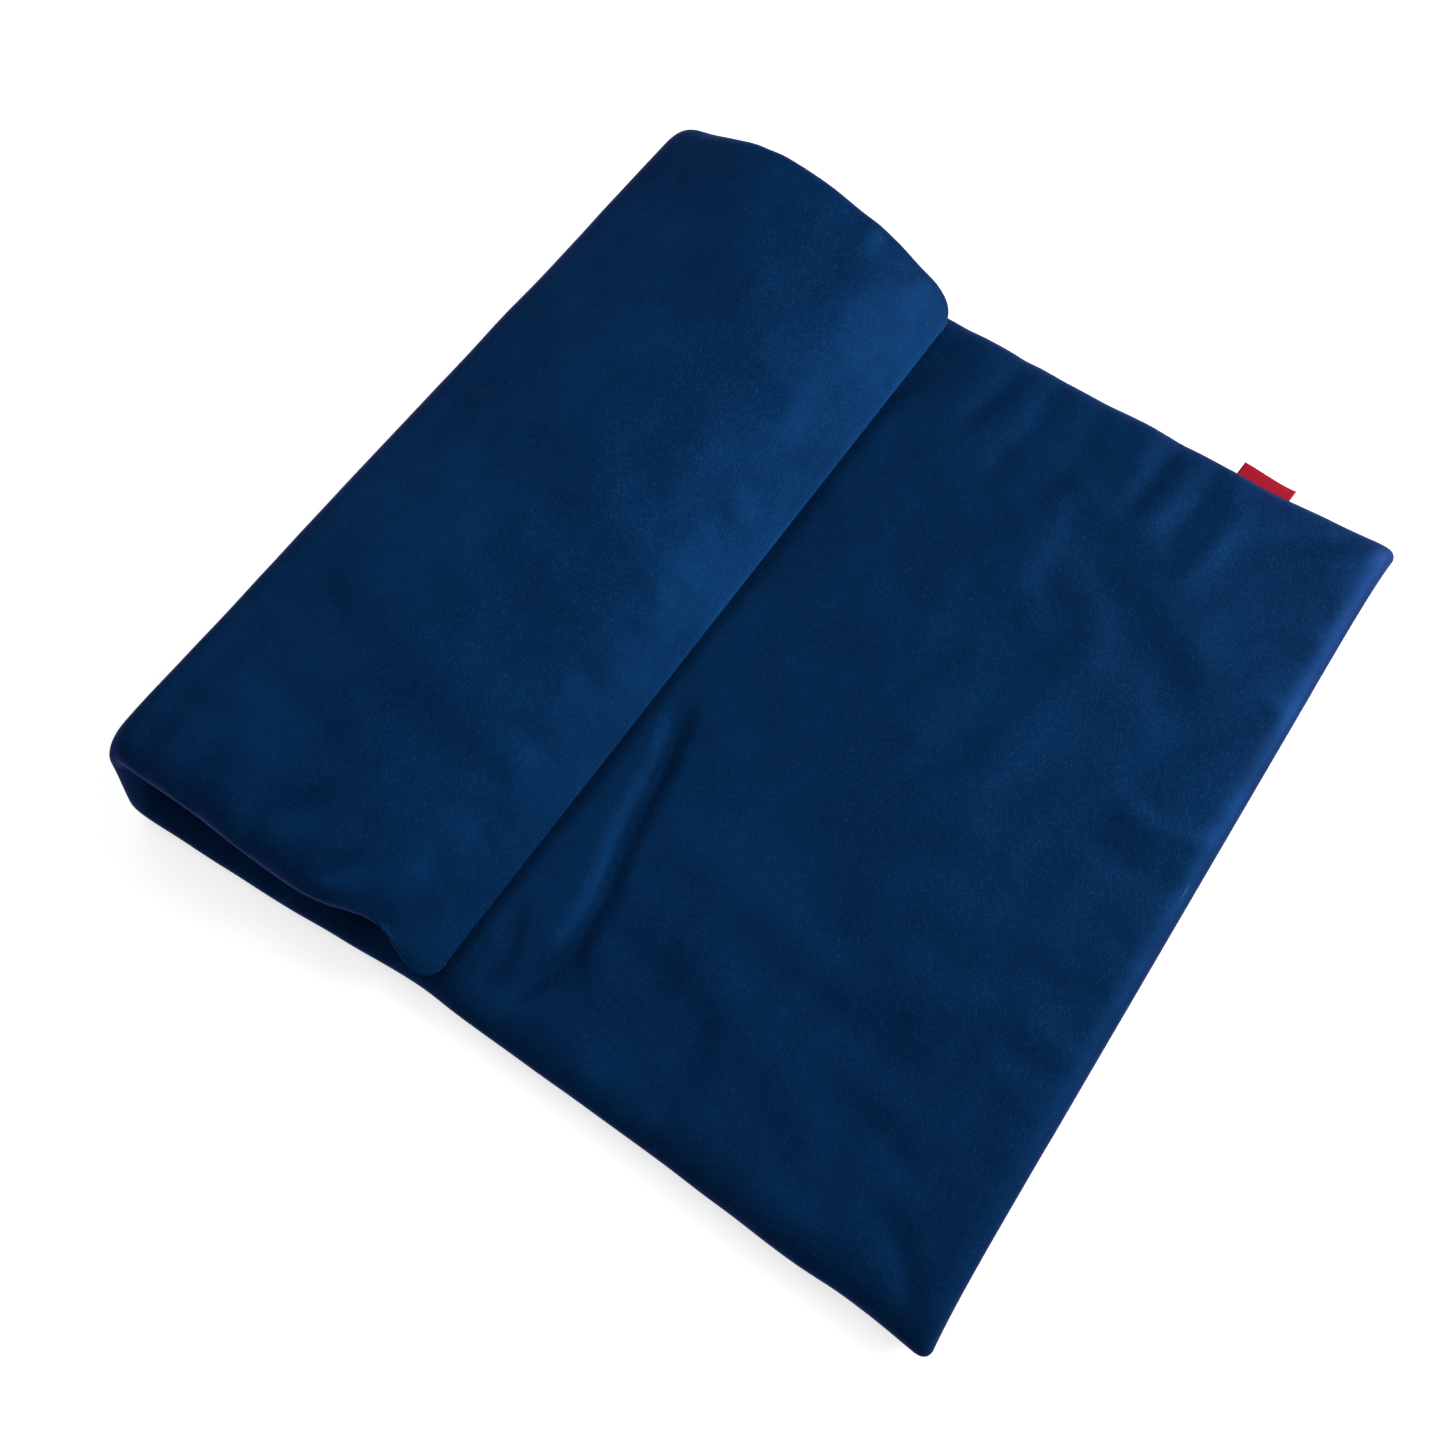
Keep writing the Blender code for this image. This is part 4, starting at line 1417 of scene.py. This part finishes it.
@dataclass
class Filling:
    """The inner casing and the three layers that fill it, in the four lengths between the folds."""

    path: FoldPath
    creases: Creases = field(default_factory=Creases)
    step: float = 0.008
    inset_ends: float = 0.0170      # of the first and last row from the mat's ends

    def level(self, form: PadForm, height: float) -> np.ndarray:
        """Place a layer's surface.

        Args:
            form: the mat's form.
            height: its level between the faces, from 1 outside to -1 inside.

        Returns:
            Its grid points.
        """
        sheet = Sheet.OUTER if height > 0 else Sheet.INNER
        base = form.place(sheet, abs(height))
        face = form.place(sheet)
        crease = self.creases.heights(form, sheet, face[:, :, 0], face[:, :, 1])
        return base + (crease * min(1.0, 1.1 * abs(height)))[:, :, None] * form.normals(sheet)[:, None, :]

    def spans(self, form: PadForm) -> dict[str, tuple[int, int]]:
        """Part the rows into lengths.

        Args:
            form: the mat's form.

        Returns:
            The first and last row of each length.
        """
        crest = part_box("cover_outer_flap_front")[0].x
        number, outer, travel = form.rows["length"], form.rows["outer"], form.rows["travel"]
        total = travel[-1]
        kept = (travel > self.inset_ends) & (travel < total - self.inset_ends)
        wanted = {
            "lying_half": number == 0, "riser": number == 1, "flap_back": number == 2,
            "flap_front": (number == 3) & (outer[:, 0] > crest),
        }
        rows = {name: np.flatnonzero(mask & kept) for name, mask in wanted.items()}
        return {name: (int(found[0]), int(found[-1])) for name, found in rows.items()}

    def build(self, materials: dict[str, bpy.types.Material]) -> list[bpy.types.Object]:
        """Build every layer of every length.

        Args:
            materials: the materials, by slot.

        Returns:
            The pieces, each riding with its body.
        """
        slots = {"ticking": "ticking_cloth", "batting_outer": "cotton_batting",
                 "batting_inner": "cotton_batting", "core": "firm_core"}
        made = []
        for layer in Layer:
            name, upper, lower, inset = layer.value
            form = PadForm(self.path, self.step, setback=inset * MM)
            for body, (first, last) in self.spans(form).items():
                top = self.level(form, upper)[first:last + 1]
                bottom = self.level(form, lower)[first:last + 1]
                piece = self.solid(f"{name}_pad_{body}", top, bottom)
                piece.data.materials.append(materials[slots[name]])
                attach(piece, body)
                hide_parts(f"{name}_{body}")
                made.append(piece)
        return made

    def solid(self, name: str, top: np.ndarray, bottom: np.ndarray) -> bpy.types.Object:
        """Close the space between two grids of points.

        Args:
            name: the piece's name.
            top: the grid on the outer side.
            bottom: the grid on the inner side.

        Returns:
            The closed piece.
        """
        lines, across = top.shape[:2]
        count = lines * across
        number = np.arange(count).reshape(lines, across)
        rim = np.concatenate([number[0, :-1], number[:-1, -1], number[-1, :0:-1], number[:0:-1, 0]])
        sides = np.stack([rim, np.roll(rim, -1), np.roll(rim, -1) + count, rim + count], axis=1)
        outer, inner = grid_faces(0, lines, across, False), grid_faces(count, lines, across, True)
        faces = np.concatenate([outer, inner, sides])
        piece = make_object(name, np.concatenate([top.reshape(-1, 3), bottom.reshape(-1, 3)]), faces)
        piece.data.polygons.foreach_set("use_smooth", np.ones(len(faces), bool))
        return piece


# ---------------------------------------------------------------------------------------------
# Seam thread, label and zip
# ---------------------------------------------------------------------------------------------


def geometry_tree(name: str, inputs: Sequence[tuple]) -> tuple[NodeTree, bpy.types.Node]:
    """Make a geometry tree with a mesh in and out.

    Args:
        name: the tree's name.
        inputs: for each further input its name, socket type and value.

    Returns:
        The tree and its input node.
    """
    tree = bpy.data.node_groups.new(name, "GeometryNodeTree")
    tree.interface.new_socket(name="Geometry", in_out="INPUT", socket_type="NodeSocketGeometry")
    for label, kind, value in inputs:
        socket = tree.interface.new_socket(name=label, in_out="INPUT", socket_type=kind)
        if value is not None:
            socket.default_value = value
    tree.interface.new_socket(name="Geometry", in_out="OUTPUT", socket_type="NodeSocketGeometry")
    nodes = NodeTree(tree)
    return nodes, nodes.add("NodeGroupInput")


def stitch_tree() -> bpy.types.NodeTree:
    """Build the tree that sews a row of stitches along a path of edges.

    Returns:
        A tree whose inputs are Pitch, Stitch, Thread and Material.
    """
    length = "NodeSocketFloat"
    nodes, entry = geometry_tree("thread_stitches", [
        ("Pitch", length, 0.0032), ("Stitch", length, 0.0022), ("Thread", length, 0.00022),
        ("Material", "NodeSocketMaterial", None)])
    out = entry.outputs
    path = nodes.add("GeometryNodeMeshToCurve", {"Mesh": out["Geometry"]})
    spaced = {"Curve": path.outputs[0], "Length": out["Pitch"]}
    even = nodes.add("GeometryNodeResampleCurve", spaced, mode="LENGTH")
    ends = nodes.add("ShaderNodeCombineXYZ", {"Z": out["Stitch"]})
    line = nodes.add("GeometryNodeCurvePrimitiveLine", {"End": ends.outputs[0]})
    ring = nodes.add("GeometryNodeCurvePrimitiveCircle", {"Resolution": 6, "Radius": out["Thread"]})
    thread = nodes.add("GeometryNodeCurveToMesh", {
        "Curve": line.outputs[0], "Profile Curve": ring.outputs[0], "Fill Caps": True})
    tangent = nodes.add("GeometryNodeInputTangent")
    turned = nodes.add("FunctionNodeAlignEulerToVector", {"Vector": tangent.outputs[0]}, axis="Z")
    placed = nodes.add("GeometryNodeInstanceOnPoints", {
        "Points": even.outputs[0], "Instance": thread.outputs[0], "Rotation": turned.outputs[0]})
    real = nodes.add("GeometryNodeRealizeInstances", {"Geometry": placed.outputs[0]})
    dressed = nodes.add("GeometryNodeSetMaterial", {"Geometry": real.outputs[0], "Material": out["Material"]})
    nodes.add("NodeGroupOutput", {"Geometry": dressed.outputs[0]})
    return nodes.tree


def coil_tree() -> bpy.types.NodeTree:
    """Build the tree that winds a zip's nylon coil along a path of edges.

    Returns:
        A tree whose inputs are Pitch, Radius, Wire and Material.
    """
    length = "NodeSocketFloat"
    nodes, entry = geometry_tree("nylon_coil", [
        ("Pitch", length, 0.0013), ("Radius", length, 0.00055), ("Wire", length, 0.00024),
        ("Material", "NodeSocketMaterial", None)])
    out = entry.outputs
    path = nodes.add("GeometryNodeMeshToCurve", {"Mesh": out["Geometry"]})
    spaced = {"Curve": path.outputs[0], "Length": out["Pitch"]}
    even = nodes.add("GeometryNodeResampleCurve", spaced, mode="LENGTH")
    turn = nodes.add("GeometryNodeCurvePrimitiveCircle", {"Resolution": 8, "Radius": out["Radius"]})
    wire = nodes.add("GeometryNodeCurvePrimitiveCircle", {"Resolution": 5, "Radius": out["Wire"]})
    loop = nodes.add("GeometryNodeCurveToMesh", {"Curve": turn.outputs[0], "Profile Curve": wire.outputs[0]})
    placed = nodes.add("GeometryNodeInstanceOnPoints", {
        "Points": even.outputs[0], "Instance": loop.outputs[0], "Rotation": (math.radians(78.0), 0.0, 0.0)})
    real = nodes.add("GeometryNodeRealizeInstances", {"Geometry": placed.outputs[0]})
    dressed = nodes.add("GeometryNodeSetMaterial", {"Geometry": real.outputs[0], "Material": out["Material"]})
    nodes.add("NodeGroupOutput", {"Geometry": dressed.outputs[0]})
    return nodes.tree


def grown(name: str, path: np.ndarray, tree: bpy.types.NodeTree, values: dict) -> bpy.types.Object:
    """Grow a tree's geometry along a path and make it a plain mesh.

    Args:
        name: the piece's name.
        path: the path's points.
        tree: the geometry tree.
        values: the tree's inputs, by name.

    Returns:
        The piece.
    """
    mesh = bpy.data.meshes.new(name)
    mesh.from_pydata(path.tolist(), [(k, k + 1) for k in range(len(path) - 1)], [])
    piece = bpy.data.objects.new(name, mesh)
    bpy.context.scene.collection.objects.link(piece)
    grow = piece.modifiers.new("Grow", "NODES")
    grow.node_group = tree
    for item in tree.interface.items_tree:
        if item.item_type == "SOCKET" and item.in_out == "INPUT" and item.name in values:
            grow[item.identifier] = values[item.name]
    return finished(piece)


@dataclass
class SeamThread:
    """The thread that closes the cover, sunk in its seam."""

    cover: Cover
    inward: float = 0.00062
    pitch: float = 0.0032
    stitch: float = 0.0022
    radius: float = 0.00020

    def build(self, thread: bpy.types.Material, tree: bpy.types.NodeTree) -> list[bpy.types.Object]:
        """Sew each length's seams.

        Args:
            thread: the material.
            tree: the stitch tree.

        Returns:
            The pieces.
        """
        form = PadForm(self.cover.path, CLOTH_STEP)
        outer, inner = self.cover.points(form)
        middle = (outer + inner) / 2
        borders = [0, *self.cover.borders(form), len(middle)]
        made = []
        for number, part in enumerate(self.cover.parts):
            first, last = borders[number], min(borders[number + 1] + 1, len(middle))
            for side, column, inwards in (("near", 0, 1.0), ("far", -1, -1.0)):
                path = middle[first:last, column] + np.array([0.0, inwards * self.inward, 0.0])
                if number == 0:
                    path = path[2:]
                values = {"Pitch": self.pitch, "Stitch": self.stitch, "Thread": self.radius,
                          "Material": thread}
                piece = grown(f"seam_thread_{part.name}_{side}", path, tree, values)
                self.cover.hang(piece, part)
                made.append(piece)
        return made


@dataclass
class SideLabel:
    """A folded ribbon sewn into the far seam, left blank."""

    cover: Cover
    sunk: float = 0.0045            # of its ends behind the seam
    ribbon: float = 0.00040
    loop: float = 0.00045           # radius of its fold
    sag: float = 0.0012

    def build(self, ribbon: bpy.types.Material) -> bpy.types.Object:
        """Build the label.

        Args:
            ribbon: its material.

        Returns:
            The piece, riding with the lying half.
        """
        low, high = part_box("side_label")
        form = PadForm(self.cover.path, CLOTH_STEP)
        outer, inner = self.cover.points(form)
        seam = ((outer + inner) / 2)[:, -1]
        x = np.linspace(low.x, high.x, 25)
        order = np.argsort(seam[:, 0][form.rows["length"] == 0])
        lying = seam[form.rows["length"] == 0][order]
        edge_y = np.interp(x, lying[:, 0], lying[:, 1])
        edge_z = np.interp(x, lying[:, 0], lying[:, 2])
        reach = high.y - low.y
        line = [(-self.sunk + (reach + self.sunk) * share, self.loop) for share in np.linspace(0.0, 1.0, 12)]
        turns = (0.6, 1.2, 1.9, 2.5)
        line += [(reach + self.loop * math.sin(turn), self.loop * math.cos(turn)) for turn in turns]
        line += [(y, -z) for y, z in reversed(line[:12])]
        middle = np.array(line)
        tangent = np.gradient(middle, axis=0)
        tangent /= np.linalg.norm(tangent, axis=1)[:, None]
        beside = np.stack([-tangent[:, 1], tangent[:, 0]], axis=1) * self.ribbon / 2
        section = np.concatenate([middle + beside, (middle - beside)[::-1]])
        out = np.clip(section[:, 0] / reach, 0.0, 1.2)
        slices = []
        for k, where in enumerate(x):
            share = k / (len(x) - 1)
            wave = 0.0005 * math.sin(5.0 * share + 0.6) - self.sag * (0.6 + 0.4 * share)
            swing = 0.0006 * math.cos(3.0 * share)
            slices.append(np.stack([where + 0.0009 * out, edge_y[k] + section[:, 0] + swing * out,
                                    edge_z[k] + section[:, 1] + wave * out**2], axis=1))
        count = len(section)
        points = np.concatenate(slices)
        faces = []
        for k in range(len(x) - 1):
            for m in range(count):
                a, b = k * count + m, k * count + (m + 1) % count
                faces.append((a, a + count, b + count, b))
        half = count // 2
        for first, turned in ((0, True), ((len(x) - 1) * count, False)):
            for m in range(half - 1):
                quad = (first + m, first + m + 1, first + count - 2 - m, first + count - 1 - m)
                faces.append(quad if turned else quad[::-1])
        piece = make_object("side_label_ribbon", points, np.array(faces))
        outward(piece)
        piece.data.polygons.foreach_set("use_smooth", np.ones(len(faces), bool))
        piece.data.materials.append(ribbon)
        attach(piece, "lying_half")
        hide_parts("side_label")
        return piece


def outward(piece: bpy.types.Object) -> None:
    """Turn a closed piece's faces outwards.

    Args:
        piece: the piece.
    """
    work = bmesh.new()
    work.from_mesh(piece.data)
    bmesh.ops.recalc_face_normals(work, faces=work.faces)
    work.to_mesh(piece.data)
    work.free()


@dataclass
class Zip:
    """The concealed zip in the flat end's seam."""

    pitch: float = 0.0013
    radius: float = 0.00055
    wire: float = 0.00024

    def build(self, tree: bpy.types.NodeTree, nylon: bpy.types.Material,
              dressed: dict) -> list[bpy.types.Object]:
        """Wind the coils and dress the frame's own tapes, stops, slider and pull.

        Args:
            tree: the coil tree.
            nylon: the coils' material.
            dressed: for each of the frame's nodes that stays, its material.

        Returns:
            The coils.
        """
        made = []
        for name in ("zip_coil_lower", "zip_coil_upper"):
            low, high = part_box(name)
            middle = (low + high) / 2
            path = np.array([(middle.x, y, middle.z) for y in (low.y + self.pitch, high.y - self.pitch)])
            values = {"Pitch": self.pitch, "Radius": self.radius, "Wire": self.wire, "Material": nylon}
            piece = grown(f"{name}_wound", path, tree, values)
            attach(piece, "lying_half")
            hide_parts(name)
            made.append(piece)
        for name, finish in dressed.items():
            for slot in bpy.data.objects[name].material_slots:
                slot.material = finish
        return made


# ---------------------------------------------------------------------------------------------
# Floor, light and camera
# ---------------------------------------------------------------------------------------------


@dataclass
class Studio:
    """A white floor with soft light, and the camera."""

    eye: tuple = (0.1948, -0.3620, 0.9195)
    target: tuple = (-0.0142, -0.0594, 0.0)
    lens: float = 32.91
    roll: float = 0.0090            # radians
    sky: float = 0.36               # strength of the sky's light

    def lamp(self, name: str, place: tuple, size: float, power: float) -> bpy.types.Object:
        """Add a square lamp that shines at the mat's middle.

        Args:
            name: the lamp's name.
            place: where it hangs.
            size: the side of its square.
            power: its power in watts.

        Returns:
            The lamp.
        """
        light = bpy.data.lights.new(name, "AREA")
        light.energy, light.size = power, size
        made = bpy.data.objects.new(name, light)
        made.location = place
        made.rotation_euler = (Vector(place)).to_track_quat("Z", "Y").to_euler()
        bpy.context.scene.collection.objects.link(made)
        return made

    def build(self) -> None:
        """Build the floor, lamps, sky and camera."""
        floor = make_object("floor", np.array([(-4, -4, 0), (4, -4, 0), (4, 4, 0), (-4, 4, 0)], float),
                            np.array([(0, 1, 2, 3)]))
        floor.location.z = -0.0004
        made, nodes, shader = new_material("floor_white")
        place = nodes.add("ShaderNodeTexCoord").outputs["Object"]
        shade = nodes.mix(nodes.noise(place, 2.0, 2.0), (0.42, 0.42, 0.425, 1.0), (0.44, 0.44, 0.44, 1.0))
        nodes.tree.links.new(shade, shader.inputs["Base Color"])
        shader.inputs["Roughness"].default_value = 0.9
        shader.inputs["Specular IOR Level"].default_value = 0.1
        shader.inputs["Emission Color"].default_value = (1.0, 1.0, 1.0, 1.0)
        shader.inputs["Emission Strength"].default_value = 0.68
        floor.data.materials.append(made)
        self.lamp("key_light", (1.45, 1.20, 0.80), 1.4, 107.0)
        self.lamp("top_light", (-1.1, 0.3, 1.9), 1.8, 27.0)
        world = bpy.data.worlds.new("studio_sky")
        world.use_nodes = True
        sky = NodeTree(world.node_tree)
        seen = sky.add("ShaderNodeLightPath").outputs["Is Camera Ray"]
        background = world.node_tree.nodes["Background"]
        background.inputs["Color"].default_value = (1.0, 1.0, 1.0, 1.0)
        world.node_tree.links.new(sky.remap(seen, 0.0, 1.0, self.sky, 1.0), background.inputs["Strength"])
        bpy.context.scene.world = world
        bpy.context.scene.view_settings.view_transform = "Standard"
        camera = bpy.data.objects.new("camera", bpy.data.cameras.new("camera"))
        camera.data.lens = self.lens
        camera.data.sensor_width = 36.0
        camera.location = self.eye
        turn = (Vector(self.eye) - Vector(self.target)).to_track_quat("Z", "Y")
        camera.rotation_euler = (turn @ Quaternion((0.0, 0.0, 1.0), self.roll)).to_euler()
        bpy.context.scene.collection.objects.link(camera)
        bpy.context.scene.camera = camera


def main() -> None:
    """Build every piece of the mattress, then the floor, lights and camera."""
    shelf = GroupShelf()
    path = FoldPath()
    cover_cloth = CoverCloth().build(shelf)
    cover = Cover(path)
    for piece in cover.build(cover_cloth):
        log.info("piece %s", piece.name)
    inside = {finish.name: finish.build(shelf) for finish in (TICKING_CLOTH, COTTON_BATTING, FIRM_CORE)}
    for piece in Filling(path).build(inside):
        log.info("piece %s", piece.name)
    thread = SEWING_THREAD.build()
    for piece in SeamThread(cover).build(thread, stitch_tree()):
        log.info("piece %s", piece.name)
    label = SideLabel(cover).build(Ribbon().build(shelf))
    log.info("piece %s", label.name)
    tape, nylon, metal = ZIP_TAPE.build(shelf), ZIP_NYLON.build(), ZIP_METAL.build()
    dressed = {"zip_tape_lower": tape, "zip_tape_upper": tape, "zip_stop_near": metal, "zip_stop_far": metal,
               "zip_slider": metal, "zip_pull": metal}
    for piece in Zip().build(coil_tree(), nylon, dressed):
        log.info("piece %s", piece.name)
    Studio().build()


if __name__ == "__main__":
    main()
